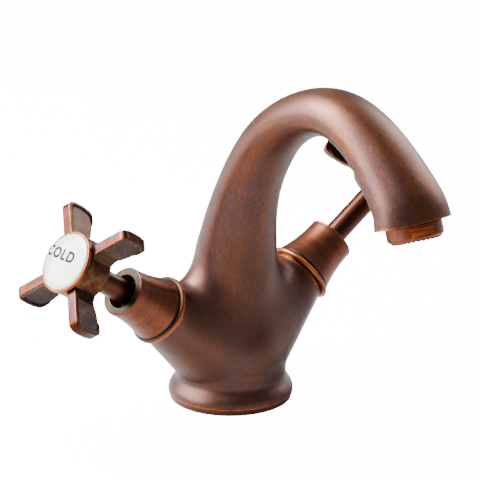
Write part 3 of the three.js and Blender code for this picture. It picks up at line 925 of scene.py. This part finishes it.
# %% Aerator housing
AERATOR_R, AERATOR_DROP, AERATOR_UP = 11.2, 6.2, 6.5
AERATOR_BORE, AERATOR_THREAD_R = 8.6, 9.8
AERATOR_CHAMFER, AERATOR_LIP = 1.0, 0.6
FLAT_WIDTH, FLAT_HEIGHT, FLAT_CUT, FLAT_TURN = 9.4, 3.4, 2.0, math.radians(114)
NOTCH_COUNT, NOTCH_WIDTH, NOTCH_CUT = 30, 1.0, 3.0
lip_r = AERATOR_R - AERATOR_CHAMFER - 0.4
housing_outline = [
    (AERATOR_BORE, -AERATOR_UP, 0.2), (AERATOR_THREAD_R, -AERATOR_UP, 0.4), (AERATOR_THREAD_R, 0.3, 0.1),
    (AERATOR_R, 0.3, 0.35), (AERATOR_R, AERATOR_DROP - AERATOR_CHAMFER, 0.3),
    (AERATOR_R - AERATOR_CHAMFER, AERATOR_DROP, 0.3), (lip_r, AERATOR_DROP, 0.05),
    (lip_r, AERATOR_DROP + AERATOR_LIP, 0.15), (AERATOR_BORE, AERATOR_DROP + AERATOR_LIP, 0.15),
]


def box_tool(name, size, place):
    bm = bmesh.new()
    bmesh.ops.create_cube(bm, size=1, matrix=Matrix.Diagonal((*size, 1)))
    return piece(name, mesh_from(bm, name), place)


housing = turned_piece("aerator_shell", housing_outline, outlet_matrix, 144, 0.25)
flat_inset = math.sqrt(AERATOR_R ** 2 - (FLAT_WIDTH / 2) ** 2)
flat_low = AERATOR_DROP - AERATOR_CHAMFER - FLAT_HEIGHT
flat_shift = Matrix.Translation((flat_inset + FLAT_CUT / 2, 0, flat_low + FLAT_HEIGHT / 2))
cut(housing, [
    box_tool(
        "flat", (FLAT_CUT, 2 * FLAT_WIDTH, FLAT_HEIGHT),
        outlet_matrix @ (Matrix.Rotation(turn, 4, "Z") @ flat_shift),
    )
    for turn in (FLAT_TURN, FLAT_TURN + math.pi)
])
notch_shift = Matrix.Translation((lip_r, 0, AERATOR_DROP + AERATOR_LIP))
cut(housing, [
    box_tool(
        "notch", (NOTCH_CUT, NOTCH_WIDTH, AERATOR_LIP),
        outlet_matrix @ Matrix.Rotation(i * 2 * math.pi / NOTCH_COUNT, 4, "Z") @ notch_shift,
    )
    for i in range(NOTCH_COUNT)
])
smooth_shaded(housing, 40)
measure_edges(housing, 5, 0.10)
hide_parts("aerator_housing")
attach(housing, "root")
print("aerator shell", len(housing.data.polygons), "faces")

# %% [markdown]
# ## The wheel of jets and the gauze
# Seen from below, the outlet shows a white moulded wheel with a ring of jets, over a round of woven steel
# gauze. The wheel is turned and drilled. The gauze is a grid of fine crossed wires, cut to a circle by
# giving each wire the length of its chord.

# %% Aerator inside
INSERT_RIM_INNER, INSERT_BOTTOM, INSERT_TOP = 5.5, -3.5, 2.5
INSERT_WEB_BOTTOM, INSERT_WEB_TOP = -2.2, -0.9
JET_COUNT, JET_R, JET_PITCH_R = 8, 0.8, 3.6
insert_r = AERATOR_BORE - 0.3
insert_outline = [
    (0, INSERT_WEB_BOTTOM), (INSERT_RIM_INNER, INSERT_WEB_BOTTOM, 0.2),
    (INSERT_RIM_INNER, INSERT_BOTTOM, 0.2), (insert_r, INSERT_BOTTOM, 0.3),
    (insert_r, INSERT_TOP, 0.3), (INSERT_RIM_INNER, INSERT_TOP, 0.3),
    (INSERT_RIM_INNER, INSERT_WEB_TOP, 0.3), (0, INSERT_WEB_TOP),
]
jet_wheel = turned_piece("jet_wheel", insert_outline, outlet_matrix, 96, 0.5)
jet_turns = [i * 2 * math.pi / JET_COUNT for i in range(JET_COUNT)]
jet_shifts = [(JET_PITCH_R * math.cos(turn), JET_PITCH_R * math.sin(turn), 0) for turn in jet_turns]
cut(jet_wheel, [
    drill("jet", rod(JET_R, INSERT_BOTTOM, 0), outlet_matrix @ Matrix.Translation(shift))
    for shift in jet_shifts
])
smooth_shaded(jet_wheel, 40)

GAUZE_S, GAUZE_PITCH, WIRE_R = 3.2, 0.8, 0.12
GAUZE_RIM, GAUZE_RIM_HALF = 0.7, 0.35
gauze = bmesh.new()
gauze_r = insert_r - 0.1
wire_count = int(gauze_r / GAUZE_PITCH)
for layer, quarter in ((-WIRE_R, 0), (WIRE_R, math.pi / 2)):
    for i in range(-wire_count, wire_count + 1):
        across = i * GAUZE_PITCH
        chord = 2 * math.sqrt(gauze_r ** 2 - across ** 2)
        lay = (
            Matrix.Rotation(quarter, 4, "Z") @ Matrix.Translation((across, 0, GAUZE_S + layer))
            @ Matrix.Rotation(math.pi / 2, 4, "X")
        )
        bmesh.ops.create_cone(
            gauze, cap_ends=True, segments=6, radius1=WIRE_R, radius2=WIRE_R, depth=chord, matrix=lay,
        )
gauze_mesh = mesh_from(gauze, "gauze")
gauze_rim = bmesh.new()
spun(gauze_rim, ring(gauze_r - GAUZE_RIM, gauze_r, GAUZE_S - GAUZE_RIM_HALF, GAUZE_S + GAUZE_RIM_HALF), 72)
gauze_rim.from_mesh(gauze_mesh)
bpy.data.meshes.remove(gauze_mesh)
gauze_disc = piece("aerator_gauze", mesh_from(gauze_rim, "gauze"), outlet_matrix)
aerator_inside = (
    (jet_wheel, "aerator_insert", "white_plastic"),
    (gauze_disc, "aerator_screen", "steel"),
)
for made, node, slot in aerator_inside:
    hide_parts(node)
    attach(made, "root")
print("gauze", len(gauze_disc.data.polygons), "faces")

# %% [markdown]
# ## Tools for the finishes
# A finish is a small program of nodes. The helpers below add a node and wire it in one call, turn a hex
# colour as a painter writes it into the linear light that the renderer uses, and make the sockets of a
# node group. Each effect that several finishes share becomes a group, built once.

# %% Node helpers
def paint(code):
    """A linear colour from its hex code."""
    parts = [int(code[i:i + 2], 16) / 255 for i in (1, 3, 5)]
    return (*[p / 12.92 if p <= 0.04045 else ((p + 0.055) / 1.055) ** 2.4 for p in parts], 1)


def add_node(tree, kind, options=None, inputs=None):
    """Adds a node, sets its options, and gives each input a value or a link."""
    made = tree.nodes.new(kind)
    for name, value in (options or {}).items():
        setattr(made, name, value)
    for name, value in (inputs or {}).items():
        if isinstance(value, bpy.types.NodeSocket):
            tree.links.new(value, made.inputs[name])
        else:
            made.inputs[name].default_value = value
    return made


def calc(tree, operation, a, b=0.0, clamp=False):
    options = {"operation": operation, "use_clamp": clamp}
    return add_node(tree, "ShaderNodeMath", options, {0: a, 1: b}).outputs[0]


def blend(tree, factor, a, b):
    """Mixes two colours."""
    return add_node(tree, "ShaderNodeMix", {"data_type": "RGBA"}, {0: factor, 6: a, 7: b}).outputs[2]


def between(tree, value, low, high, to_low=0.0, to_high=1.0):
    """Maps a value from one range to another, and stops at the ends."""
    inputs = {"Value": value, "From Min": low, "From Max": high, "To Min": to_low, "To Max": to_high}
    return add_node(tree, "ShaderNodeMapRange", None, inputs).outputs[0]


def vector_calc(tree, operation, inputs):
    return add_node(tree, "ShaderNodeVectorMath", {"operation": operation}, inputs).outputs[0]


def scaled(tree, vector, scale):
    """The vector with each coordinate times its own number."""
    return vector_calc(tree, "MULTIPLY", {0: vector, 1: scale})


def third(tree, vector):
    """The third coordinate of a vector."""
    return add_node(tree, "ShaderNodeSeparateXYZ", None, {0: vector}).outputs[2]


def noise(tree, vector, scale=1.0, detail=4.0, rough=0.55, distortion=0.0):
    inputs = {
        "Vector": vector, "Scale": scale, "Detail": detail, "Roughness": rough, "Distortion": distortion,
    }
    return add_node(tree, "ShaderNodeTexNoise", None, inputs).outputs["Fac"]


def attribute(tree, name, output="Fac"):
    return add_node(tree, "ShaderNodeAttribute", {"attribute_name": name}).outputs[output]


def new_group(name, inputs, outputs):
    """An empty node group with named sockets, given as (name, kind, default)."""
    group = bpy.data.node_groups.new(name, "ShaderNodeTree")
    for label, kind, default in inputs:
        socket = group.interface.new_socket(label, in_out="INPUT", socket_type=f"NodeSocket{kind}")
        if default is not None:
            socket.default_value = default
    for label, kind in outputs:
        group.interface.new_socket(label, in_out="OUTPUT", socket_type=f"NodeSocket{kind}")
    return group, group.nodes.new("NodeGroupInput").outputs, group.nodes.new("NodeGroupOutput").inputs


def use_group(tree, group, inputs):
    return add_node(tree, "ShaderNodeGroup", {"node_tree": group}, inputs).outputs


# %% [markdown]
# ### Brush marks
# A finishing pad leaves fine parallel scratches, with a few deeper ones among them. Both come from noise
# that is squeezed across the stroke and drawn out along it. Coordinates arrive with the stroke along
# their third axis. A slow wobble bends the strokes, because a hand did them.

# %% Brush marks group
brush_marks, given, result = new_group(
    "brush_marks",
    [("Vector", "Vector", None), ("Fineness", "Float", 1.0), ("Wobble", "Float", 0.0015)],
    [("Fine", "Float"), ("Deep", "Float"), ("Cloud", "Float")],
)
tree = brush_marks
wander = add_node(tree, "ShaderNodeTexNoise", None, {
    "Vector": given["Vector"], "Scale": 45.0, "Detail": 2.0,
}).outputs["Color"]
centred = vector_calc(tree, "SUBTRACT", {0: wander, 1: (0.5, 0.5, 0.5)})
bent = vector_calc(tree, "SCALE", {0: centred, "Scale": given["Wobble"]})
strokes = vector_calc(tree, "ADD", {0: given["Vector"], 1: bent})
sized = vector_calc(tree, "SCALE", {0: strokes, "Scale": given["Fineness"]})
tree.links.new(noise(tree, scaled(tree, sized, (3000, 3000, 120)), detail=3), result["Fine"])
deep = noise(tree, scaled(tree, sized, (1700, 1700, 105)), detail=2)
tree.links.new(between(tree, deep, 0.55, 0.72), result["Deep"])
tree.links.new(noise(tree, scaled(tree, sized, (150, 150, 40)), detail=4), result["Cloud"])
print("brush marks ready")

# %% [markdown]
# ### Rubbed edges
# Where the polishing mop reached, the dark patina is gone. The group turns the measured "edge" into two
# masks: one for proud edges that were rubbed bright, broken up by noise so that no line is even, and one
# for hollows where the patina stayed thick.

# %% Rubbed edges group
rubbed_edges, given, result = new_group(
    "rubbed_edges",
    [("Edge", "Float", 0.0), ("Vector", "Vector", None), ("Start", "Float", 0.15), ("Full", "Float", 0.5)],
    [("Bright", "Float"), ("Dark", "Float")],
)
tree = rubbed_edges
patchy = noise(tree, given["Vector"], scale=420.0, detail=5, rough=0.65)
shift = between(tree, patchy, 0.3, 0.7, -0.14, 0.14)
uneven = calc(tree, "ADD", given["Edge"], shift)
bright = add_node(tree, "ShaderNodeMapRange", None, {
    "Value": uneven, "From Min": given["Start"], "From Max": given["Full"],
}).outputs[0]
tree.links.new(bright, result["Bright"])
tree.links.new(between(tree, given["Edge"], -0.12, -0.5), result["Dark"])
print("rubbed edges ready")


# %% [markdown]
# ### Heat tints
# Where copper was warmed during patination, a film of oxide grew on it, and its thickness gives blue,
# violet and gold in patches. A colour ramp holds the order of the tints, and soft noise walks along it.

# %% Heat tints group
heat_tints, given, result = new_group(
    "heat_tints",
    [("Vector", "Vector", None), ("Size", "Float", 300.0)],
    [("Tint", "Color"), ("Patch", "Float")],
)
tree = heat_tints
film = add_node(tree, "ShaderNodeTexNoise", None, {
    "Vector": given["Vector"], "Scale": given["Size"], "Detail": 4.0, "Distortion": 1.2,
}).outputs["Fac"]
ramp_node = add_node(tree, "ShaderNodeValToRGB", None, {"Fac": film})
stops = ramp_node.color_ramp.elements
stops[0].position, stops[0].color = 0.30, paint("#5c3a22")
stops[1].position, stops[1].color = 0.72, paint("#743614")
for position, code in ((0.42, "#682f12"), (0.50, "#46303e"), (0.56, "#343a58"), (0.62, "#5a2c1e")):
    stop = stops.new(position)
    stop.color = paint(code)
tree.links.new(ramp_node.outputs["Color"], result["Tint"])
patches = noise(tree, given["Vector"], scale=110.0, detail=3)
tree.links.new(between(tree, patches, 0.42, 0.62), result["Patch"])
print("heat tints ready")


# %% [markdown]
# ## Antique copper
# The casting wears three tones: a red-brown ground, purple-grey clouds where the patina is thickest, and
# orange streaks where it was rubbed thin, most of all along the spout. A thin lacquer over it gives a
# pale sheen, which is a coat layer. The streaks follow the "flow" that was stored on the casting.

# %% Finish helpers
def new_material(name):
    material = bpy.data.materials.new(name)
    material.use_nodes = True
    tree = material.node_tree
    shader = tree.nodes["Principled BSDF"]
    return material, tree, shader


def wire(tree, shader, color, roughness, height=None, strength=0.15, distance=0.0003):
    """Feeds a shader its colour, its roughness and the relief of its scratches."""
    tree.links.new(color, shader.inputs["Base Color"])
    tree.links.new(roughness, shader.inputs["Roughness"])
    if height is not None:
        bump = add_node(tree, "ShaderNodeBump", None, {
            "Strength": strength, "Distance": distance, "Height": height,
        })
        tree.links.new(bump.outputs[0], shader.inputs["Normal"])


def set_shader(shader, **values):
    for name, value in values.items():
        shader.inputs[name.replace("_", " ")].default_value = value


# %% [markdown]
# ### The layers of the copper
# The tones go on one after another, as a finisher works: ground, clouds, streaks, scratches in three
# directions, bare edges and dark hollows. The scratches are cut in as relief too, and spread the
# highlights. The aerator wears a warmer mix of the same tones.

# %% Antique copper
GROUND, CLOUD, WARM, RUBBED, DEEP_PATINA = "#563628", "#483436", "#703a18", "#b85c28", "#1a0d0a"


def antique_copper(name, coordinates, streak_amount, ground=GROUND, warm=WARM):
    material, tree, shader = new_material(name)
    vector = coordinates(tree)
    clouds = noise(tree, scaled(tree, vector, (42, 42, 22)), detail=4, rough=0.5, distortion=0.5)
    tone = blend(tree, between(tree, clouds, 0.34, 0.68), paint(ground), paint(CLOUD))
    wisps = noise(tree, scaled(tree, vector, (130, 130, 20)), detail=5, rough=0.58, distortion=0.4)
    amount = streak_amount(tree, vector)
    reach = calc(tree, "MULTIPLY", between(tree, wisps, 0.47, 0.72), amount, clamp=True)
    tone = blend(tree, reach, tone, paint(warm))
    for lean, share, colour in ((-0.22, 0.55, warm), (0.10, 0.45, warm), (0.42, 0.35, RUBBED)):
        lay = add_node(tree, "ShaderNodeMapping", None, {
            "Vector": vector, "Rotation": (lean, lean / 2, 0.0),
        })
        marks = use_group(tree, brush_marks, {
            "Vector": lay.outputs[0], "Fineness": 1.0 + lean, "Wobble": 0.004,
        })
        scratch = calc(tree, "MULTIPLY", marks["Deep"], calc(tree, "MULTIPLY", amount, share))
        tone = blend(tree, scratch, tone, paint(colour))
    shade = between(tree, marks["Fine"], 0.25, 0.75, 0.84, 1.16)
    tone = vector_calc(tree, "SCALE", {0: tone, "Scale": shade})
    edges = use_group(tree, rubbed_edges, {
        "Edge": attribute(tree, "edge"), "Vector": vector, "Start": 0.42, "Full": 0.80,
    })
    tone = blend(tree, edges["Bright"], tone, paint(RUBBED))
    tone = blend(tree, calc(tree, "MULTIPLY", edges["Dark"], 0.6), tone, paint(DEEP_PATINA))
    rough = between(tree, marks["Cloud"], 0.3, 0.7, 0.36, 0.46)
    height = calc(tree, "ADD", marks["Fine"], calc(tree, "MULTIPLY", marks["Deep"], -0.5))
    wire(tree, shader, tone, rough, height, 0.22, 0.0002)
    set_shader(shader, Metallic=0.9, Coat_Weight=0.16, Coat_Roughness=0.34)
    return material


def flow_of(tree):
    return attribute(tree, "flow", "Vector")


def object_of(tree):
    return add_node(tree, "ShaderNodeTexCoord").outputs["Object"]


def along_spout(tree, vector):
    """More streaks from the neck up, and few on the body."""
    return between(tree, third(tree, vector), 0.040, 0.095, 0.26, 0.78)


def all_over(tree, vector):
    return between(tree, noise(tree, vector, scale=160.0), 0.3, 0.6, 0.5, 1.0)


def finish(obj, material):
    obj.data.materials.clear()
    obj.data.materials.append(material)


casting_copper = antique_copper("antique_copper", flow_of, along_spout)
finish(casting, casting_copper)
finish(housing, antique_copper("aerator_copper", object_of, all_over, ground="#6c3420", warm="#8a4420"))
print("antique copper on the casting and the aerator")

# %% [markdown]
# ## Brushed copper on the turned covers
# The covers were brushed while they spun, so their scratches run round them. On a turned piece "turned"
# holds each point's place on the lathe. Scaling it hard along the axis and little across gives rings.
# The groove behind the collar gets a near-black band of painted shade, and the flat small end is a dull
# grey-brown.

# %% Brushed copper
# The darkest tone serves the patina in the fine lines and hollows, and also the painted shade in the groove
# behind the collar.
COVER_TONE, COVER_SHADE, COLLAR_TONE, DARK_PATINA_AND_GROOVE_SHADE = "#6a3c2c", "#563022", "#a45a38", "#1c1a15"
OLD_METAL, OLD_SHADE = "#30291f", "#221c14"


def turned_of(tree):
    return attribute(tree, "turned", "Vector")


def lathe_lines(tree, vector, across=60.0, along=3400.0):
    """Fine rings round a turned piece."""
    fine = noise(tree, scaled(tree, vector, (across, across, along)), detail=5, rough=0.7)
    broad = noise(tree, scaled(tree, vector, (across * 0.8, across * 0.8, along * 0.05)), detail=3)
    return fine, broad


GROOVE_S = (COLLAR_FRONT + BELL_START) / 2


def brushed_copper():
    material, tree, shader = new_material("brushed_copper")
    vector = turned_of(tree)
    height = third(tree, vector)
    fine, broad = lathe_lines(tree, vector)
    tone = blend(tree, between(tree, broad, 0.35, 0.65), paint(COVER_TONE), paint(COVER_SHADE))
    tone = blend(tree, between(tree, fine, 0.42, 0.62, 0.0, 0.30), tone, paint(COLLAR_TONE))
    tone = blend(tree, between(tree, fine, 0.45, 0.30, 0.0, 0.3), tone, paint(DARK_PATINA_AND_GROOVE_SHADE))
    on_collar = between(tree, height, (COLLAR_FRONT + 0.1) * MM, (COLLAR_FRONT - 0.3) * MM)
    tone = blend(tree, calc(tree, "MULTIPLY", on_collar, 0.8), tone, paint(COLLAR_TONE))
    edges = use_group(tree, rubbed_edges, {
        "Edge": attribute(tree, "edge"), "Vector": vector, "Start": 0.25, "Full": 0.6,
    })
    tone = blend(tree, edges["Bright"], tone, paint(COLLAR_TONE))
    # Painted shade: a near-black band along the groove behind the collar, added to the patina in the
    # hollows.
    off_groove = calc(tree, "ABSOLUTE", calc(tree, "SUBTRACT", height, GROOVE_S * MM))
    painted_groove_shade = between(tree, off_groove, 1.1 * MM, 0.35 * MM)
    dark = calc(tree, "MAXIMUM", edges["Dark"], painted_groove_shade)
    tone = blend(tree, dark, tone, paint(DARK_PATINA_AND_GROOVE_SHADE))
    stain = noise(tree, vector, scale=300.0, detail=5)
    old = blend(tree, between(tree, stain, 0.35, 0.65), paint(OLD_METAL), paint(OLD_SHADE))
    not_rubbed = calc(tree, "SUBTRACT", 1.0, edges["Bright"])
    end_face = calc(tree, "MULTIPLY", attribute(tree, "end_face"), not_rubbed)
    tone = blend(tree, end_face, tone, old)
    satin = between(tree, fine, 0.3, 0.7, 0.30, 0.42)
    rough = calc(tree, "MAXIMUM", satin, calc(tree, "MULTIPLY", dark, 0.5))
    wire(tree, shader, tone, rough, fine, 0.22, 0.00012)
    tree.links.new(between(tree, end_face, 0.0, 1.0, 0.95, 0.97), shader.inputs["Metallic"])
    set_shader(shader, Coat_Weight=0.04, Coat_Roughness=0.25, Specular_IOR_Level=0.3)
    return material


cover_copper = brushed_copper()
for cover in covers.values():
    finish(cover, cover_copper)
print("brushed copper on the covers")

# %% [markdown]
# ## Handles
# The broad faces of the blades kept an olive-brown patina, with painted shade that darkens them towards the
# lowest blade.
# Their narrow bands were polished back to copper, and heat left blue and violet on them. The dark stays
# in the corner between blade and hub.

# %% Handle patina
# The darkest of these tones is painted shade for the lowest blade, and the two heights below say where it
# starts and where it is full.
OLIVE, BROWN, GRAIN, VIOLET, PAINTED_LOW_SHADE = "#3e2c1d", "#311b10", "#4a3726", "#3a2c44", "#180a05"
HUB_BRONZE, HUB_BROWN, BAND = "#563e2a", "#42200f", "#3e1c0e"
WORN_EDGE, CORNER_DARK = "#9a4e26", "#0c0705"
LOW_SHADE_FROM, LOW_SHADE_FULL = 66 * MM, 57 * MM  # heights above the counter


def handle_patina():
    material, tree, shader = new_material("handle_patina")
    vector = turned_of(tree)
    clouds = noise(tree, vector, scale=150.0, detail=5, rough=0.6, distortion=0.5)
    grain = noise(tree, vector, scale=1400.0, detail=3)
    tone = blend(tree, between(tree, clouds, 0.35, 0.65), paint(OLIVE), paint(BROWN))
    tone = blend(tree, between(tree, grain, 0.4, 0.8, 0.0, 0.35), tone, paint(GRAIN))
    violet = calc(tree, "MULTIPLY", between(tree, noise(tree, vector, scale=90.0), 0.52, 0.64), 0.6)
    tone = blend(tree, violet, tone, paint(VIOLET))
    # Painted shade: the lower a point stands above the counter, the darker it is, so the lowest blade is
    # darkest.
    low = between(tree, third(tree, object_of(tree)), LOW_SHADE_FROM, LOW_SHADE_FULL, 0.0, 0.95)
    tone = blend(tree, low, tone, paint(PAINTED_LOW_SHADE))
    hub = blend(tree, between(tree, clouds, 0.40, 0.62), paint(HUB_BRONZE), paint(HUB_BROWN))
    tone = blend(tree, attribute(tree, "blade"), hub, tone)
    tints = use_group(tree, heat_tints, {"Vector": vector, "Size": 170.0})
    band = blend(tree, tints["Patch"], paint(BAND), tints["Tint"])
    tone = blend(tree, attribute(tree, "rim"), tone, band)
    edges = use_group(tree, rubbed_edges, {
        "Edge": attribute(tree, "edge"), "Vector": vector, "Start": 0.25, "Full": 0.75,
    })
    tone = blend(tree, calc(tree, "MULTIPLY", edges["Bright"], 0.8), tone, paint(WORN_EDGE))
    tone = blend(tree, edges["Dark"], tone, paint(CORNER_DARK))
    rough = between(tree, clouds, 0.3, 0.7, 0.20, 0.34)
    wire(tree, shader, tone, rough, grain, 0.12, 0.0001)
    set_shader(shader, Metallic=0.97, Specular_IOR_Level=0.2)
    return material


patina = handle_patina()
for handle in handles.values():
    finish(handle, patina)
print("patina on the handles")


# %% [markdown]
# ## Turned copper and machined metal
# The spindles and bezels are copper with rings from the lathe. The hidden brass pieces, the steel screw
# and the gauze are plain machined metal. One function makes them all, with its own colours for each.

# %% Machined metal
def machined(name, bright, dull, coordinates, low_rough, high_rough, line_scale=1500.0):
    material, tree, shader = new_material(name)
    vector = coordinates(tree)
    fine, broad = lathe_lines(tree, vector, 80.0, line_scale)
    stain = noise(tree, vector, scale=220.0, detail=5, rough=0.6)
    tone = blend(tree, between(tree, broad, 0.35, 0.65), paint(bright), paint(dull))
    tone = blend(tree, between(tree, stain, 0.55, 0.75, 0.0, 0.6), tone, paint(dull))
    wire(tree, shader, tone, between(tree, fine, 0.3, 0.7, low_rough, high_rough), fine, 0.15, 0.0001)
    set_shader(shader, Metallic=1.0)
    return material


stem_copper = machined("stem_copper", "#5c3628", "#3a2018", turned_of, 0.22, 0.38)
bezel_copper = machined("bright_copper", "#a85a30", "#6e341c", turned_of, 0.18, 0.30, 2500.0)
ring_brass = machined("ring_brass", "#8c4a1c", "#5c2c10", turned_of, 0.22, 0.35)
for side in SIDES:
    finish(spindles[side], stem_copper)
    finish(bezels[side], bezel_copper)
    finish(seat_rings[side], ring_brass)

brass = machined("machined_brass", "#c09a52", "#94713a", object_of, 0.25, 0.40)
steel = machined("stainless_steel", "#b8b8b6", "#8c8c8a", object_of, 0.22, 0.35)
finish(gauze_disc, steel)
print("machined metal ready")

# %% [markdown]
# ## Porcelain, print, plastic, rubber and fibre
# Fired glaze is white with a faint cloudiness and a clear gloss over it. The word is a matt black enamel.
# The seals are rubber with a bloom of dust, the gaskets red fibre with specks, and the jet wheel is
# moulded plastic. All are the same recipe: two tones, a speckle and a relief.

# %% Glazed and moulded finishes
def speckled(name, tone_a, tone_b, scale, low_rough, high_rough, relief, **shader_values):
    material, tree, shader = new_material(name)
    vector = object_of(tree)
    cloud = noise(tree, vector, scale=scale, detail=5, rough=0.6)
    speck = noise(tree, vector, scale=scale * 12, detail=2)
    tone = blend(tree, between(tree, cloud, 0.35, 0.65), paint(tone_a), paint(tone_b))
    wire(tree, shader, tone, between(tree, cloud, 0.3, 0.7, low_rough, high_rough), speck, relief, 0.0001)
    set_shader(shader, **shader_values)
    return material


porcelain = speckled(
    "porcelain", "#cecece", "#c6c6c5", 60.0, 0.10, 0.16, 0.01, Coat_Weight=0.6, Coat_Roughness=0.04,
)
enamel = speckled("word_enamel", "#08080a", "#0e0e10", 400.0, 0.60, 0.70, 0.05, Specular_IOR_Level=0.2)
plastic = speckled("white_plastic", "#dedede", "#d2d2d0", 200.0, 0.38, 0.48, 0.05)
rubber = speckled("black_rubber", "#161616", "#242322", 300.0, 0.55, 0.75, 0.2)
fibre = speckled("red_fibre", "#6e2f24", "#54231b", 500.0, 0.70, 0.85, 0.3)
for side in SIDES:
    finish(discs[side], porcelain)
    finish(words[side], enamel)
finish(jet_wheel, plastic)

# %% [markdown]
# ## The pieces kept from CAD
# The hidden pieces keep their working meshes and get their real materials, so that the valve is right
# when it is opened up.

# %% Finish the kept pieces
kept_finishes = {
    "seat": brass, "headwork": brass, "gland_nut": brass, "jumper_plate": brass, "washer_nut": brass,
    "headwork_gasket": fibre, "gland_packing": rubber, "jumper_washer": rubber, "handle_screw": steel,
}
for side in SIDES:
    for part_name, material in kept_finishes.items():
        finish(bpy.data.objects[f"{side}_{part_name}"], material)
for part_name in ("base_seal", "aerator_washer"):
    finish(bpy.data.objects[part_name], rubber)
print("kept pieces finished")

# %% [markdown]
# ## Floor and light
# The mixer stands on a plain pale floor that runs on out of sight. Polished metal shows what is around
# it more than what shines on it, so the studio is built like a reflection. The floor glows only for the
# camera, which makes it as bright as the backdrop and leaves it a quiet grey in the metal.

# %% Floor
floor_bm = bmesh.new()
bmesh.ops.create_grid(floor_bm, x_segments=1, y_segments=1, size=3.0)
floor = bpy.data.objects.new("studio_floor", mesh_from(floor_bm, "studio_floor"))
bpy.context.scene.collection.objects.link(floor)
floor_material, tree, shader = new_material("floor_paint")
mottle = noise(tree, object_of(tree), scale=3.0, detail=3)
tree.links.new(blend(tree, mottle, paint("#b2b2b2"), paint("#acacac")), shader.inputs["Base Color"])
set_shader(shader, Roughness=0.9)
FLOOR_GLOW = 14.0  # so that the floor runs into the backdrop without a line
seen = add_node(tree, "ShaderNodeLightPath").outputs["Is Camera Ray"]
shader.inputs["Emission Color"].default_value = (1, 1, 1, 1)
tree.links.new(calc(tree, "MULTIPLY", seen, FLOOR_GLOW), shader.inputs["Emission Strength"])
finish(floor, floor_material)

# %% [markdown]
# ### The world around it
# Where no panel stands, metal mirrors the world. It is pale at the horizon and dim overhead, so curved
# metal turns darker as it faces upwards. The camera alone sees a bright backdrop instead, because a light
# path tells its rays from the reflected ones.

# %% World
HORIZON, OVERHEAD, BACKDROP = 0.40, 0.09, 20.0
world = bpy.data.worlds.new("studio")
world.use_nodes = True
bpy.context.scene.world = world
tree = world.node_tree
tree.nodes.clear()
direction = add_node(tree, "ShaderNodeTexCoord").outputs["Generated"]
glow = between(tree, third(tree, direction), 0.05, 0.75, HORIZON, OVERHEAD)
seen = add_node(tree, "ShaderNodeLightPath").outputs["Is Camera Ray"]
strength = add_node(tree, "ShaderNodeMix", None, {0: seen, 2: glow, 3: BACKDROP}).outputs[0]
background = add_node(tree, "ShaderNodeBackground", None, {"Color": (1, 1, 1, 1), "Strength": strength})
output = add_node(tree, "ShaderNodeOutputWorld")
tree.links.new(background.outputs[0], output.inputs[0])


# %% [markdown]
# ### The panels
# A big soft panel stands to the left of the mixer and a little behind it, and a weaker one to the right.
# The darkness between them draws the dark stripe down the spout. A panel's size sets how wide its
# highlight is, and its power how bright. One more lamp, behind the mixer, lights the floor from above.

# %% Soft panels
def soft_panel(name, turn, rise, distance, size, power):
    """A rectangular light at a compass turn and rise from the object, facing it."""
    data = bpy.data.lights.new(name, "AREA")
    data.shape = "RECTANGLE"
    data.size, data.size_y = size
    data.energy = power
    lamp = bpy.data.objects.new(name, data)
    stand_at(lamp, math.radians(turn), math.radians(rise), distance)
    bpy.context.scene.collection.objects.link(lamp)


soft_panel("left_panel", -124, 28, 1.4, (1.5, 1.1), 92)
soft_panel("front_panel", -60, 62, 1.3, (0.5, 0.4), 4)
soft_panel("right_panel", 94, 30, 1.4, (0.9, 1.1), 19)
soft_panel("back_panel", 160, 45, 1.6, (1.0, 0.8), 1)

FLOOR_WASH_AT, FLOOR_WASH_HEIGHT = Vector((-0.30, 0.38, 0)), 0.7
wash_data = bpy.data.lights.new("floor_wash", "AREA")
wash_data.size, wash_data.energy = 0.5, 30
wash = bpy.data.objects.new("floor_wash", wash_data)
wash.location = FLOOR_WASH_AT + Vector((0, 0, FLOOR_WASH_HEIGHT))
bpy.context.scene.collection.objects.link(wash)
print("lights set")
